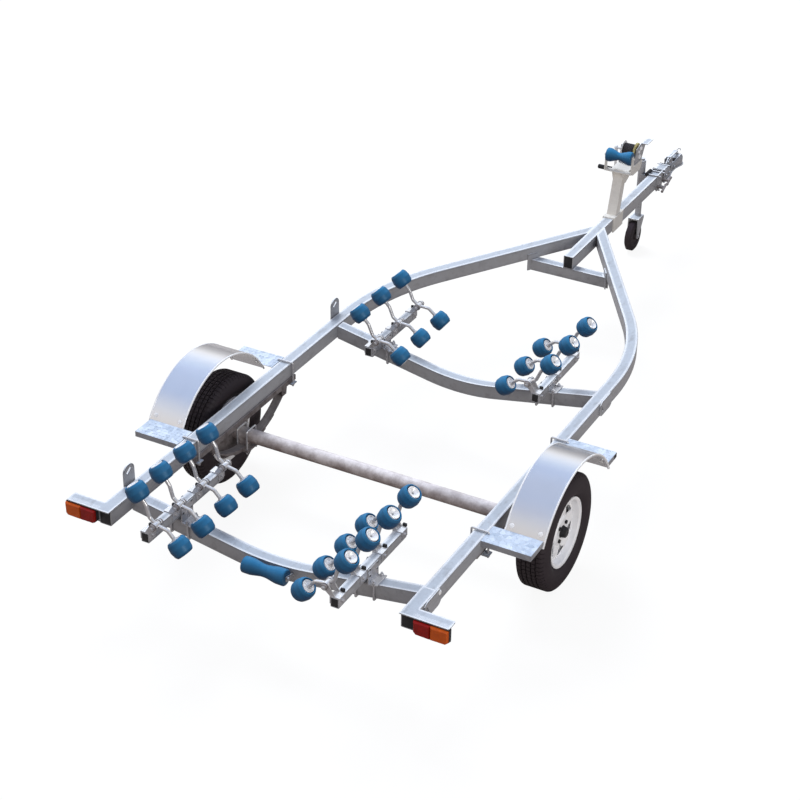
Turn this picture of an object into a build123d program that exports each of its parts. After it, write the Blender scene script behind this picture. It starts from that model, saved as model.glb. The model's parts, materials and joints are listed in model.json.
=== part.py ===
from build123d import *
from math import atan, cos, radians, sin, sqrt, tan
import os

# Roller boat trailer, in millimetres: X to the right, Y forward to the coupling, Z up from the ground.
# Every piece is built with Y = 0 at the axle and moved at the end, so that the middle of the overall
# length is at Y = 0. Pieces that come in pairs are built on the right side and mirrored.

# Fits
SEAT_GAP = 0.3          # between pieces that only rest on one another
PIN_CLEARANCE = 0.05    # radial, between a turning pin and its bore
HOLE_CLEARANCE = 0.5    # radial, around a bolt
SIDE_CLEARANCE = 1.0    # between a turning part and its cheeks

# Wheels, 165 R 13
TYRE_RADIUS = 298
TYRE_WIDTH = 165
TREAD_WIDTH = 126
SHOULDER_DROP = 16
SIDEWALL_RADIUS = 236   # where the tyre is widest
BEAD_RADIUS = 168
BEAD_WIDTH = 116
WHEEL_X = 953           # middle of the tread
RIM_WALL = 7
RIM_FLANGE_RADIUS = 180
RIM_FLANGE = 6
DISC_THICKNESS = 7
DISC_OFFSET = 34        # wheel disc outboard of the tread's middle
WINDOW_COUNT = 5
WINDOW_RADIUS = 21
WINDOW_CIRCLE = 118
WHEEL_BOLT_COUNT = 4
WHEEL_BOLT_CIRCLE = 50
WHEEL_BOLT_RADIUS = 9
WHEEL_BOLT_HEAD = 14
HUB_RADIUS = 66
HUB_LENGTH = 58
HUB_CAP_RADIUS = 26
HUB_CAP_LENGTH = 26

# Axle and leaf springs
AXLE_RADIUS = 37
AXLE_STUB = 71          # bare spindle between the axle tube and the hub
SPINDLE_RADIUS = 17
SPINDLE_SEAT = 47       # spindle inside the hub
SPRING_HALF_SPAN = 330
SPRING_EYE_Z = 392
SPRING_WIDTH = 45
LEAF_THICKNESS = 7
LEAF_REACH = (SPRING_HALF_SPAN, 235, 150)
EYE_RADIUS = 17
EYE_SINK = 2             # how far the rolled eye sinks into the main leaf
EYE_PIN_RADIUS = 6
AXLE_PAD = 6
PAD_LENGTH = 70
SPRING_PLATE = 10
CARRIER_WIDTH = 60
CARRIER_HEIGHT = 30
CARRIER_REAR_Y = -563
CARRIER_FRONT_Y = 429
CARRIER_INSET = 8       # how far the carrier stands out from under the rail, inboard
HANGER_THICKNESS = 6
HANGER_LENGTH = 70
HANGER_DROP = 20        # below the eye's middle

# Side rails
RAIL_TOP_Z = 534
RAIL_HEIGHT = 80
RAIL_WIDTH = 66
RAIL_WALL = 4
RAIL_CORNER = 6
RAIL_X = 794
RAIL_REAR_Y = -1202
RAIL_BEND_Y = 1450      # where the straight centre lines would meet
RAIL_BEND_ANGLE = 31
RAIL_BEND_RADIUS = 1400

# Drawbar and front crossmember
DRAWBAR_WIDTH = 60
DRAWBAR_WALL = 4
DRAWBAR_REAR_Y = 2300
DRAWBAR_FRONT_Y = 3860
FRONT_CROSS_HEIGHT = 66
FRONT_CROSS_DEPTH = 60
FRONT_CROSS_HALF = 262
GUSSET_LENGTH = 70
GUSSET_THICKNESS = 6

# Bowed crossmembers
CROSS_DEPTH = 62
CROSS_HEIGHT = 74
CROSS_WALL = 4
CROSS_END_TOP_Z = 525
CROSS_BEND_REACH = 200
CROSSMEMBERS = {"middle": dict(y=919, centre_z=398), "rear": dict(y=-1006, centre_z=418)}

# Roller beams, rockers and rollers. lift is the packing between crossmember and beam, lean how far the
# rockers are tipped outboard edge up, stations the Y of each rocker.
BEAM_X = 493
BEAM_WIDTH = 40
BEAM_HEIGHT = 50
BEAM_WALL = 3
ROCKER_SETS = {
    "front": dict(cross="middle", lift=0.3, rear_y=754, front_y=1272, lean=0, stations=(782, 1014, 1246)),
    "rear": dict(cross="rear", lift=38, rear_y=-1306, front_y=-690, lean=8,
                 stations=(-1280, -1096, -904, -716)),
}
PIVOT_INWARD = 48       # rocker pivot from the beam's middle
PIVOT_ABOVE = 70
PIVOT_PIN_RADIUS = 7
SLEEVE_RADIUS = 16
SLEEVE_LENGTH = 34
ROD_RADIUS = 10
OUTER_KNEE = (38, 24)   # rocker points in X, Z from its pivot
OUTER_BEND = (62, 82)
OUTER_ROLLER = (113, 135)
INNER_KNEE = (-61, -2)
INNER_ROLLER = (-133, -59)
KNEE_RADIUS = 24
ROLLER_RADIUS = 52
ROLLER_WIDTH = 80
ROLLER_EDGE = 12
ROLLER_BORE_CLEARANCE = 0.3
ROD_END = 6             # rod end past the roller's face
COLLAR_RADIUS = 16
COLLAR_LENGTH = 5
SADDLE_LENGTH = 50
SADDLE_THICKNESS = 5
SADDLE_LEG = 36          # down the beam's sides
SADDLE_NUT_RADIUS = 8
CHEEK_THICKNESS = 6
CHEEK_FOOT = 26          # half its length along the saddle
LUG_RADIUS = 19
BRACKET_THICKNESS = 5
BRACKET_FOOT = 48
BRACKET_LENGTH = 92

# U-bolts
U_ROD_RADIUS = 5
U_NUT_RADIUS = 9
U_NUT_HEIGHT = 8
U_TAIL = 8
U_CORNER = 8
U_BEND_GAP = 3          # between a tube's flat face and the bend

# Fenders and steps
FENDER_Y = -60
FENDER_RADIUS = 440
FENDER_THICKNESS = 3
FENDER_INNER_X = 885
FENDER_OUTER_X = 1085
FENDER_LIP = 12
FENDER_DROP = 30         # how far its ends reach below the steps' tops
STEP_TOP_Z = RAIL_TOP_Z
STEP_THICKNESS = 4
STEP_LIP = 30
STEP_OUTER_X = 1078
REAR_STEP_Y = -565
FRONT_STEP_Y = 435
STEP_CLAMPS = dict(rear=-498, front=392)
CLAMP_PLATE = 6
CLAMP_PLATE_LENGTH = 44
CLAMP_INNER_GAP = 8

# Lamps
LAMP_PLATE = 5
LAMP_ARM_REAR_Y = -1220
LAMP_ARM_DEPTH = 66
LAMP_ARM_OUTER_X = 1000
LAMP_ARM_CORNER = 10
LAMP_TAIL_FRONT_Y = -1000
LAMP_OUTER_X = 1003
LAMP_HEIGHT = 74
LAMP_DROP = 3            # lamp's top below the arm
LAMP_BACK = 18
LAMP_LENS = 16
LAMP_CHAMFER = 14
LAMP_RED_SHARE = 108    # width of the red lens
LAMP_RIM = 2
LAMP_SIDE_GAP = 4        # between the rail's outer face and the lamp

# Tie-down tabs on the rails
TAB_WIDTH = 85
TAB_THICKNESS = 6
TAB_HEIGHT = 104        # above the rail's top
TAB_DROP = 62           # below the rail's top
TAB_STATIONS = (-958, 977)
TAB_SLOT_LENGTH = 44
TAB_SLOT_WIDTH = 13
TAB_ROUND = 0.9          # corner radius over half the width
TAB_SLOT_DROP = 0.75     # slot below the top, over half the width
TAB_SLOT_TURN = 32

# Keel roller on the rear crossmember
KEEL_LENGTH = 226
KEEL_RADIUS = 40
KEEL_WAIST = 30
KEEL_REACH = 46         # axle behind the crossmember
KEEL_RISE = -20         # axle from the crossmember's top
KEEL_PIN_RADIUS = 8
KEEL_CHEEK = 5
KEEL_CHEEK_NOSE = 12     # past the pin
KEEL_CHEEK_ROOT = 24     # half its height at the crossmember
KEEL_CHEEK_TIP = 14

# Winch post and bow roller
POST_SIZE = 60
POST_WALL = 4
POST_Y = 2985
POST_LEAN = 15
POST_LENGTH = 275
POST_PLATE = 8
POST_PLATE_LENGTH = 150
HEAD_PLATE = 6
HEAD_SIDE = 60           # how far the post's side plates reach down
HEAD_LOW = 84
BOW_Y = 3020
BOW_Z = 905
BOW_LENGTH = 165
BOW_RADIUS = 42
BOW_WAIST = 24
BOW_PIN_RADIUS = 8
BOW_CHEEK = 5
BOW_CHEEK_FOOT = 20      # half its length at the bottom
BOW_CHEEK_TOP = 14       # half its length at the top, and its rise above the pin

# Winch
WINCH_Y = 3205
WINCH_Z = 880
WINCH_HALF_WIDTH = 52
WINCH_PLATE = 4
WINCH_HEIGHT = 112
WINCH_DROP = 69          # shaft above the table
WINCH_REAR_TOP = 94      # height of the right plate's rear corner
FOLD_LENGTH = 95         # flange folded out from the right plate's top
FOLD_WIDTH = 40
FOLD_LEAD = 75           # how far it reaches ahead of the base
WINCH_DEPTH = 120
WINCH_TAPER = 22         # how much each end of the side plates leans in
STRAP_RADIUS = 42
FLANGE_RADIUS = 54
DRUM_FLANGE = 3
WINCH_SHAFT_RADIUS = 9
CRANK_X = 90
CRANK_LENGTH = 150
CRANK_THICKNESS = 8
CRANK_WIDTH = 26
GRIP_LENGTH = 110
GRIP_RADIUS = 15

# Jockey wheel
JACK_X = -92
JACK_Y = 3690
JACK_TOP_Z = 615
JACK_TUBE_RADIUS = 24
JACK_TUBE_WALL = 3
JACK_TUBE_BOTTOM_Z = 385
JACK_INNER_RADIUS = 20.5
JACK_INNER_WALL = 3
JACK_OVERLAP = 60       # of the two tubes with the wheel wound right down
KINGPIN_RADIUS = 9
JACK_WHEEL_RADIUS = 100
JACK_WHEEL_WIDTH = 48
JACK_DISH = 64           # rim radius of the wheel's dished sides
JACK_DISH_DEPTH = 8
JACK_TRAIL = 62
FORK_THICKNESS = 6
FORK_WIDTH = 34
FORK_GAP = 6
FORK_TOP_Z = 226
JACK_PIN_RADIUS = 8
JACK_CLAMP_PLATE = 8
JACK_CLAMP_HEIGHT = 110
JACK_CLAMP_LENGTH = 90
JACK_HANDLE_RADIUS = 50
JACK_HANDLE_WIDTH = 14

# Coupling
COUPLING_WIDTH = 84
COUPLING_HEIGHT = 76
COUPLING_OVERLAP = 110  # over the drawbar
COUPLING_NOSE_Y = 4130
COUPLING_WALL = 6
BALL_RADIUS = 25
BALL_Y = 4082
BALL_CLEARANCE = 0.4
NOSE_RADIUS = 44
LEVER_LENGTH = 150
LEVER_WIDTH = 34
LEVER_THICKNESS = 10

AXLE_Z = TYRE_RADIUS
RAIL_INNER_X = RAIL_X - RAIL_WIDTH / 2
RAIL_OUTER_X = RAIL_X + RAIL_WIDTH / 2
RAIL_BOTTOM_Z = RAIL_TOP_Z - RAIL_HEIGHT
CENTRE_Y = (COUPLING_NOSE_Y + ROCKER_SETS["rear"]["stations"][0] - ROLLER_RADIUS) / 2

nodes = {}


def span(x, y, z):
    """A box between pairs of X, Y and Z."""
    low = (min(x), min(y), min(z))
    size = (abs(x[1] - x[0]), abs(y[1] - y[0]), abs(z[1] - z[0]))
    return Pos(*low) * Box(*size, align=(Align.MIN, Align.MIN, Align.MIN))


def rod_x(radius, x, y, z):
    """A round bar along X from x[0] to x[1]."""
    bar = Cylinder(radius, abs(x[1] - x[0]))
    return Pos((x[0] + x[1]) / 2, y, z) * Rot(0, 90, 0) * bar


def rod_y(radius, x, y, z):
    """A round bar along Y from y[0] to y[1]."""
    bar = Cylinder(radius, abs(y[1] - y[0]))
    return Pos(x, (y[0] + y[1]) / 2, z) * Rot(90, 0, 0) * bar


def rod_z(radius, x, y, z):
    """A round bar along Z from z[0] to z[1]."""
    return Pos(x, y, (z[0] + z[1]) / 2) * Cylinder(radius, abs(z[1] - z[0]))


def plate_y(points, y):
    """A flat plate with its outline in X, Z, between two values of Y."""
    outline = make_face(Plane.XZ * Polyline(*points, close=True))
    return Pos(0, y[0], 0) * extrude(outline, y[1] - y[0], dir=(0, 1, 0))


def plate_x(points, x):
    """A flat plate with its outline in Y, Z, between two values of X."""
    outline = make_face(Plane.YZ * Polyline(*points, close=True))
    return Pos(x[0], 0, 0) * extrude(outline, x[1] - x[0], dir=(1, 0, 0))


def turned_x(points, y, z):
    """A solid turned about an axis along X, from points in X and radius."""
    outline = make_face(Plane.XZ * Polyline(*points, close=True))
    return Pos(0, y, z) * revolve(outline, Axis.X)


def both_sides(shape):
    """The right-hand piece with its mirror image on the left."""
    return [shape, mirror(shape, about=Plane.YZ)]


def cross_slope(cross):
    drop = CROSS_END_TOP_Z - cross["centre_z"]
    return drop / (RAIL_INNER_X - CROSS_BEND_REACH / 2)


def cross_top(cross, x):
    """Height of a crossmember's top on its straight slope."""
    return CROSS_END_TOP_Z - cross_slope(cross) * (RAIL_INNER_X - abs(x))


def beam_z(rollers):
    """Middle of a roller beam: its lower outer edge stands on the crossmember or on its packing."""
    cross = CROSSMEMBERS[rollers["cross"]]
    return cross_top(cross, BEAM_X + BEAM_WIDTH / 2) + rollers["lift"] + BEAM_HEIGHT / 2


def rail_point(run):
    """Centre line of the right rail, a given run past the bend's corner."""
    turn = radians(RAIL_BEND_ANGLE)
    return RAIL_X - run * sin(turn), RAIL_BEND_Y + run * cos(turn)


def side_rail():
    mid_z = RAIL_TOP_Z - RAIL_HEIGHT / 2
    run = (RAIL_X - DRAWBAR_WIDTH / 2) / sin(radians(RAIL_BEND_ANGLE)) + RAIL_WIDTH
    end_x, end_y = rail_point(run)
    corners = ((RAIL_X, RAIL_REAR_Y, mid_z), (RAIL_X, RAIL_BEND_Y, mid_z), (end_x, end_y, mid_z))
    path = FilletPolyline(*corners, radius=RAIL_BEND_RADIUS)
    plane = Plane(origin=corners[0], x_dir=(1, 0, 0), z_dir=(0, 1, 0))
    section = RectangleRounded(RAIL_WIDTH, RAIL_HEIGHT, RAIL_CORNER)
    section -= Rectangle(RAIL_WIDTH - 2 * RAIL_WALL, RAIL_HEIGHT - 2 * RAIL_WALL)
    rail = sweep(plane * section, path=path)
    past_drawbar = span((DRAWBAR_WIDTH / 2, -RAIL_X), (RAIL_BEND_Y, end_y + RAIL_WIDTH), (0, RAIL_TOP_Z + 1))
    return rail - past_drawbar


def tie_down_tab(side, y, upright):
    """A slotted tab on the rail's outer face, standing up or laid back along the rail."""
    half = TAB_WIDTH / 2
    foot = RAIL_TOP_Z - TAB_DROP if upright else (RAIL_TOP_Z + RAIL_BOTTOM_Z) / 2
    height = TAB_HEIGHT + TAB_DROP
    outline = Pos(0, height / 2) * RectangleRounded(TAB_WIDTH, height, half * TAB_ROUND)
    slot = Rot(0, 0, TAB_SLOT_TURN) * SlotOverall(TAB_SLOT_LENGTH, TAB_SLOT_WIDTH)
    slot = Pos(0, height - half * TAB_SLOT_DROP) * slot
    tab = extrude(Plane.YZ * (outline - slot), TAB_THICKNESS)
    if not upright:
        tab = Rot(90, 0, 0) * tab
    tab = Pos(RAIL_OUTER_X, y, foot) * tab
    return tab if side > 0 else mirror(tab, about=Plane.YZ)


def rail_with_tabs(side):
    rail = side_rail()
    if side < 0:
        rail = mirror(rail, about=Plane.YZ)
    for y in TAB_STATIONS:
        rail += tie_down_tab(side, y, upright=side < 0)
    return rail


def hollow_bar(x, y, z, wall):
    """A rectangular tube along Y, open at both ends."""
    inner = span((x[0] + wall, x[1] - wall), (y[0] - 1, y[1] + 1), (z[0] + wall, z[1] - wall))
    return span(x, y, z) - inner


def drawbar():
    half = DRAWBAR_WIDTH / 2
    bar_y = (DRAWBAR_REAR_Y, DRAWBAR_FRONT_Y)
    bar = hollow_bar((-half, half), bar_y, (RAIL_BOTTOM_Z, RAIL_TOP_Z), DRAWBAR_WALL)
    return bar + front_crossmember()


def front_crossmember():
    y = (DRAWBAR_REAR_Y, DRAWBAR_REAR_Y + FRONT_CROSS_DEPTH)
    z = (RAIL_BOTTOM_Z - FRONT_CROSS_HEIGHT, RAIL_BOTTOM_Z)
    shift = FRONT_CROSS_DEPTH * tan(radians(RAIL_BEND_ANGLE))
    corners = [
        (-FRONT_CROSS_HALF, y[0]),
        (FRONT_CROSS_HALF, y[0]),
        (FRONT_CROSS_HALF - shift, y[1]),
        (shift - FRONT_CROSS_HALF, y[1]),
    ]
    outline = make_face(Polyline(*corners, close=True))
    tube = Pos(0, 0, z[0]) * extrude(outline, FRONT_CROSS_HEIGHT, dir=(0, 0, 1))
    inset = DRAWBAR_WALL
    bore = span((-RAIL_X, RAIL_X), (y[0] + inset, y[1] - inset), (z[0] + inset, z[1] - inset))
    tube -= bore
    for gusset in front_gussets():
        tube += gusset
    return tube


def front_gussets():
    """Flat plates that tie the ends of the front crossmember to the inner faces of the rails."""
    turn = radians(RAIL_BEND_ANGLE)
    mid_y = DRAWBAR_REAR_Y + FRONT_CROSS_DEPTH / 2
    run = (mid_y - RAIL_BEND_Y) / cos(turn)
    x, y = rail_point(run)
    inner = RAIL_WIDTH / 2 + GUSSET_THICKNESS / 2
    x -= inner * cos(turn)
    y -= inner * sin(turn)
    low = RAIL_BOTTOM_Z - FRONT_CROSS_HEIGHT
    plate = Box(GUSSET_THICKNESS, GUSSET_LENGTH, RAIL_TOP_Z - low - RAIL_HEIGHT / 2)
    plate = Pos(x, y, low + (RAIL_TOP_Z - low - RAIL_HEIGHT / 2) / 2) * Rot(0, 0, RAIL_BEND_ANGLE) * plate
    return both_sides(plate)


def bowed_crossmember(cross):
    slope = cross_slope(cross)
    lower = CROSS_HEIGHT / 2 / cos(atan(slope))
    over = RAIL_WIDTH / 2
    end_x = RAIL_INNER_X + over
    end_z = CROSS_END_TOP_Z + slope * over - lower
    low_z = CROSS_END_TOP_Z - slope * RAIL_INNER_X - lower
    points = ((-end_x, cross["y"], end_z), (0, cross["y"], low_z), (end_x, cross["y"], end_z))
    path = FilletPolyline(*points, radius=CROSS_BEND_REACH / slope)
    plane = Plane(origin=path @ 0, x_dir=(0, 1, 0), z_dir=path % 0)
    section = Rectangle(CROSS_DEPTH, CROSS_HEIGHT)
    section -= Rectangle(CROSS_DEPTH - 2 * CROSS_WALL, CROSS_HEIGHT - 2 * CROSS_WALL)
    bow = sweep(plane * section, path=path)
    between_y = (cross["y"] - CROSS_DEPTH, cross["y"] + CROSS_DEPTH)
    between = span((-RAIL_INNER_X, RAIL_INNER_X), between_y, (0, RAIL_TOP_Z))
    return bow & between


def keel_cheeks():
    """Cheeks behind the rear crossmember that carry the keel roller's pin."""
    cross = CROSSMEMBERS["rear"]
    rear_y = cross["y"] - CROSS_DEPTH / 2
    axle_z = cross["centre_z"] + KEEL_RISE
    inner = KEEL_LENGTH / 2 + SIDE_CLEARANCE
    outline = [
        (rear_y, axle_z - KEEL_CHEEK_ROOT),
        (rear_y, cross_top(cross, 0) - CROSS_WALL),
        (rear_y - KEEL_REACH - KEEL_CHEEK_NOSE, axle_z + KEEL_CHEEK_TIP),
        (rear_y - KEEL_REACH - KEEL_CHEEK_NOSE, axle_z - KEEL_CHEEK_TIP),
    ]
    cheek = plate_x(outline, (inner, inner + KEEL_CHEEK))
    reach = inner + KEEL_CHEEK + U_NUT_HEIGHT
    pin = rod_x(KEEL_PIN_RADIUS, (-reach, reach), rear_y - KEEL_REACH, axle_z)
    return cheek + mirror(cheek, about=Plane.YZ) + pin


def roller_profile(length, radius, waist, bore):
    """Half section of a waisted roller in X and radius."""
    half = length / 2
    flat = length * 0.14
    return [(-half, bore), (-half, radius - 4), (4 - half, radius), (flat - half, radius), (-flat / 2, waist),
            (flat / 2, waist), (half - flat, radius), (half - 4, radius), (half, radius - 4), (half, bore)]


def keel_roller():
    cross = CROSSMEMBERS["rear"]
    profile = roller_profile(KEEL_LENGTH, KEEL_RADIUS, KEEL_WAIST, KEEL_PIN_RADIUS + PIN_CLEARANCE)
    y = cross["y"] - CROSS_DEPTH / 2 - KEEL_REACH
    return turned_x(profile, y, cross["centre_z"] + KEEL_RISE)


def roller_beams():
    beams = []
    for rollers in ROCKER_SETS.values():
        mid = beam_z(rollers)
        x = (BEAM_X - BEAM_WIDTH / 2, BEAM_X + BEAM_WIDTH / 2)
        z = (mid - BEAM_HEIGHT / 2, mid + BEAM_HEIGHT / 2)
        beams += both_sides(hollow_bar(x, (rollers["rear_y"], rollers["front_y"]), z, BEAM_WALL))
    return beams


def beam_brackets():
    """Pairs of angles that stand on a crossmember and hold the beam between them."""
    pieces = []
    for rollers in ROCKER_SETS.values():
        cross = CROSSMEMBERS[rollers["cross"]]
        top = beam_z(rollers) + BEAM_HEIGHT / 2 - BRACKET_THICKNESS
        y = (cross["y"] - BRACKET_LENGTH / 2, cross["y"] + BRACKET_LENGTH / 2)
        for way in (-1, 1):
            face = BEAM_X + way * BEAM_WIDTH / 2
            wall = face + way * BRACKET_THICKNESS
            toe = face + way * BRACKET_FOOT
            outline = [
                (face, cross_top(cross, face)),
                (face, top),
                (wall, top),
                (wall, cross_top(cross, wall) + BRACKET_THICKNESS),
                (toe, cross_top(cross, toe) + BRACKET_THICKNESS),
                (toe, cross_top(cross, toe)),
            ]
            angle = plate_y(outline, y)
            for end in (-1, 1):
                leg_y = cross["y"] + end * u_leg(CROSS_DEPTH)
                leg_x = bracket_bolt_x(way)
                angle -= rod_z(U_ROD_RADIUS + HOLE_CLEARANCE, leg_x, leg_y, (0, RAIL_TOP_Z))
            pieces += both_sides(angle)
    return pieces


def bracket_bolt_x(way):
    return BEAM_X + way * (BEAM_WIDTH / 2 + (BRACKET_FOOT + BRACKET_THICKNESS) / 2)


def u_leg(width):
    """Distance from the middle of a tube to a U-bolt's leg beside it."""
    return width / 2 + U_ROD_RADIUS + SIDE_CLEARANCE


def u_bolt(leg, bend, seat, along):
    """A U-bolt in its own plane: legs at +-leg, bend at height bend, nuts on the plate face at seat."""
    up = 1 if seat > bend else -1
    end = seat + up * (U_NUT_HEIGHT + U_TAIL)
    points = [(-leg, 0, end), (-leg, 0, bend), (leg, 0, bend), (leg, 0, end)]
    path = FilletPolyline(*points, radius=U_CORNER)
    bolt = sweep(Plane(origin=points[0], z_dir=(0, 0, -up)) * Circle(U_ROD_RADIUS), path=path)
    for side in (-leg, leg):
        nut = extrude(RegularPolygon(U_NUT_RADIUS, 6), U_NUT_HEIGHT / 2, both=True)
        bolt += Pos(side, 0, seat + up * U_NUT_HEIGHT / 2) * nut
    return bolt if along == "x" else Rot(0, 0, 90) * bolt


def u_bolts():
    bolts = []
    for rollers in ROCKER_SETS.values():
        cross = CROSSMEMBERS[rollers["cross"]]
        for way in (-1, 1):
            x = bracket_bolt_x(way)
            slope = cross_slope(cross)
            thick = CROSS_HEIGHT / cos(atan(slope))
            low = cross_top(cross, x) - thick - U_ROD_RADIUS * (1 + slope) - U_BEND_GAP
            seat = cross_top(cross, x + U_NUT_RADIUS) + BRACKET_THICKNESS + SEAT_GAP
            bolt = u_bolt(u_leg(CROSS_DEPTH), low, seat, "y")
            bolts += both_sides(Pos(x, cross["y"], 0) * bolt)
    for where in STEP_CLAMPS:
        x, leg, seat = step_clamp(where)
        bolt = u_bolt(leg, RAIL_TOP_Z + U_ROD_RADIUS + U_BEND_GAP, seat, "x")
        bolts += both_sides(Pos(x, STEP_CLAMPS[where], 0) * bolt)
    for x in spring_bolt_x():
        seat = spring_seat_z() - LEAF_THICKNESS * len(LEAF_REACH) - SPRING_PLATE
        bolt = u_bolt(u_leg(2 * AXLE_RADIUS), AXLE_Z + AXLE_RADIUS + U_ROD_RADIUS + SEAT_GAP, seat, "y")
        bolts += both_sides(Pos(x, 0, 0) * bolt)
    return bolts


def spring_bolt_x():
    reach = SPRING_WIDTH / 2 + U_ROD_RADIUS + SIDE_CLEARANCE
    return RAIL_X - reach, RAIL_X + reach


def spring_seat_z():
    """Top of the spring pack, below the axle's pad."""
    return AXLE_Z - AXLE_RADIUS - AXLE_PAD


def step_clamp(where):
    """Middle, half span and nut seat of the U-bolt that holds a step on the rail."""
    inner = RAIL_INNER_X - CLAMP_INNER_GAP - U_ROD_RADIUS
    outer = RAIL_OUTER_X + STEP_THICKNESS + SIDE_CLEARANCE + U_ROD_RADIUS
    on_carrier = CARRIER_REAR_Y < STEP_CLAMPS[where] < CARRIER_FRONT_Y
    seat = RAIL_BOTTOM_Z - CLAMP_PLATE - (CARRIER_HEIGHT if on_carrier else 0)
    return (inner + outer) / 2, (outer - inner) / 2, seat


def steps():
    """Chequered steps before and behind each wheel, with their edges folded down and a clamp plate each."""
    foot = sqrt(FENDER_RADIUS ** 2 - (STEP_TOP_Z - AXLE_Z) ** 2)
    spans = {
        "rear": (REAR_STEP_Y, FENDER_Y - foot),
        "front": (FENDER_Y + foot, FRONT_STEP_Y),
    }
    arch = rod_x(FENDER_RADIUS + SEAT_GAP, (0, 2 * STEP_OUTER_X), FENDER_Y, AXLE_Z)
    pieces = []
    for where, y in spans.items():
        x = (RAIL_OUTER_X, STEP_OUTER_X)
        step = span(x, y, (STEP_TOP_Z - STEP_LIP, STEP_TOP_Z))
        room = STEP_THICKNESS
        open_y = (y[0] + room, y[1] + room) if where == "rear" else (y[0] - room, y[1] - room)
        step -= span((x[0] + room, x[1] - room), open_y, (0, STEP_TOP_Z - room))
        step -= arch
        mid, leg, seat = step_clamp(where)
        bolt_y = STEP_CLAMPS[where]
        hole = U_ROD_RADIUS + HOLE_CLEARANCE
        step -= rod_z(hole, mid + leg, bolt_y, (0, RAIL_TOP_Z + 1))
        plate_x_range = (mid - leg - U_NUT_RADIUS - 2, mid + leg + U_NUT_RADIUS + 2)
        plate_y_range = (bolt_y - CLAMP_PLATE_LENGTH / 2, bolt_y + CLAMP_PLATE_LENGTH / 2)
        plate = span(plate_x_range, plate_y_range, (seat, seat + CLAMP_PLATE))
        for side in (-leg, leg):
            plate -= rod_z(hole, mid + side, bolt_y, (0, RAIL_TOP_Z))
        pieces += both_sides(step)
        pieces += both_sides(plate)
    return pieces


def fenders():
    x = (FENDER_INNER_X, FENDER_OUTER_X)
    shell = rod_x(FENDER_RADIUS, x, FENDER_Y, AXLE_Z)
    shell -= rod_x(FENDER_RADIUS - FENDER_THICKNESS, x, FENDER_Y, AXLE_Z)
    lip_x = (FENDER_OUTER_X - FENDER_THICKNESS, FENDER_OUTER_X)
    lip = rod_x(FENDER_RADIUS, lip_x, FENDER_Y, AXLE_Z)
    lip -= rod_x(FENDER_RADIUS - FENDER_LIP, lip_x, FENDER_Y, AXLE_Z)
    above_y = (FENDER_Y - FENDER_RADIUS, FENDER_Y + FENDER_RADIUS)
    above = span((0, 2 * FENDER_OUTER_X), above_y, (STEP_TOP_Z - FENDER_DROP, 2 * FENDER_RADIUS))
    return both_sides((shell + lip) & above)


def end_plugs():
    """Square plugs pushed into the open ends of the tubes, with a flange over the edge."""
    plugs = []

    def plug(x, z, size, wall, y, way):
        flange = 4
        stem = 16
        width = (x - size[0] / 2, x + size[0] / 2)
        height = (z - size[1] / 2, z + size[1] / 2)
        inner_x = (width[0] + wall, width[1] - wall)
        inner_z = (height[0] + wall, height[1] - wall)
        return span(width, (y, y + way * flange), height) + span(inner_x, (y, y - way * stem), inner_z)

    rail_mid = RAIL_TOP_Z - RAIL_HEIGHT / 2
    plugs += both_sides(plug(RAIL_X, rail_mid, (RAIL_WIDTH, RAIL_HEIGHT), RAIL_WALL, RAIL_REAR_Y, -1))
    plugs += [plug(0, rail_mid, (DRAWBAR_WIDTH, RAIL_HEIGHT), DRAWBAR_WALL, DRAWBAR_REAR_Y, -1)]
    for rollers in ROCKER_SETS.values():
        for y, way in ((rollers["rear_y"], -1), (rollers["front_y"], 1)):
            plugs += both_sides(plug(BEAM_X, beam_z(rollers), (BEAM_WIDTH, BEAM_HEIGHT), BEAM_WALL, y, way))
    return plugs


def hub_inner_x():
    return WHEEL_X + DISC_OFFSET - HUB_LENGTH


def axle():
    half_length = hub_inner_x() - AXLE_STUB
    tube = rod_x(AXLE_RADIUS, (-half_length, half_length), 0, AXLE_Z)
    tip = hub_inner_x() + SPINDLE_SEAT
    tube += rod_x(SPINDLE_RADIUS, (-tip, tip), 0, AXLE_Z)
    half = SPRING_WIDTH / 2
    pad = span((RAIL_X - half, RAIL_X + half), (-PAD_LENGTH / 2, PAD_LENGTH / 2), (spring_seat_z(), AXLE_Z))
    pad &= rod_x(spring_radius(), (RAIL_X - half, RAIL_X + half), 0, spring_seat_z() + spring_radius())
    return tube + pad + mirror(pad, about=Plane.YZ)


def spring_radius():
    """Radius of the main leaf's upper face, from the seat up to the eyes."""
    sag = SPRING_EYE_Z - EYE_RADIUS + EYE_SINK - spring_seat_z()
    return (SPRING_HALF_SPAN ** 2 + sag ** 2) / (2 * sag)


def spring_arc(drop, reach):
    """Outline in Y, Z of one leaf under the seat, curved to meet the eye at the ends of the main leaf."""
    radius = spring_radius()
    outer = radius + drop + LEAF_THICKNESS
    inner = radius + drop
    centre_z = spring_seat_z() + radius
    ring = rod_x(outer, (-SPRING_WIDTH / 2, SPRING_WIDTH / 2), 0, centre_z)
    ring -= rod_x(inner, (-SPRING_WIDTH / 2, SPRING_WIDTH / 2), 0, centre_z)
    keep = span((-SPRING_WIDTH, SPRING_WIDTH), (-reach, reach), (0, centre_z))
    return ring & keep


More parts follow.
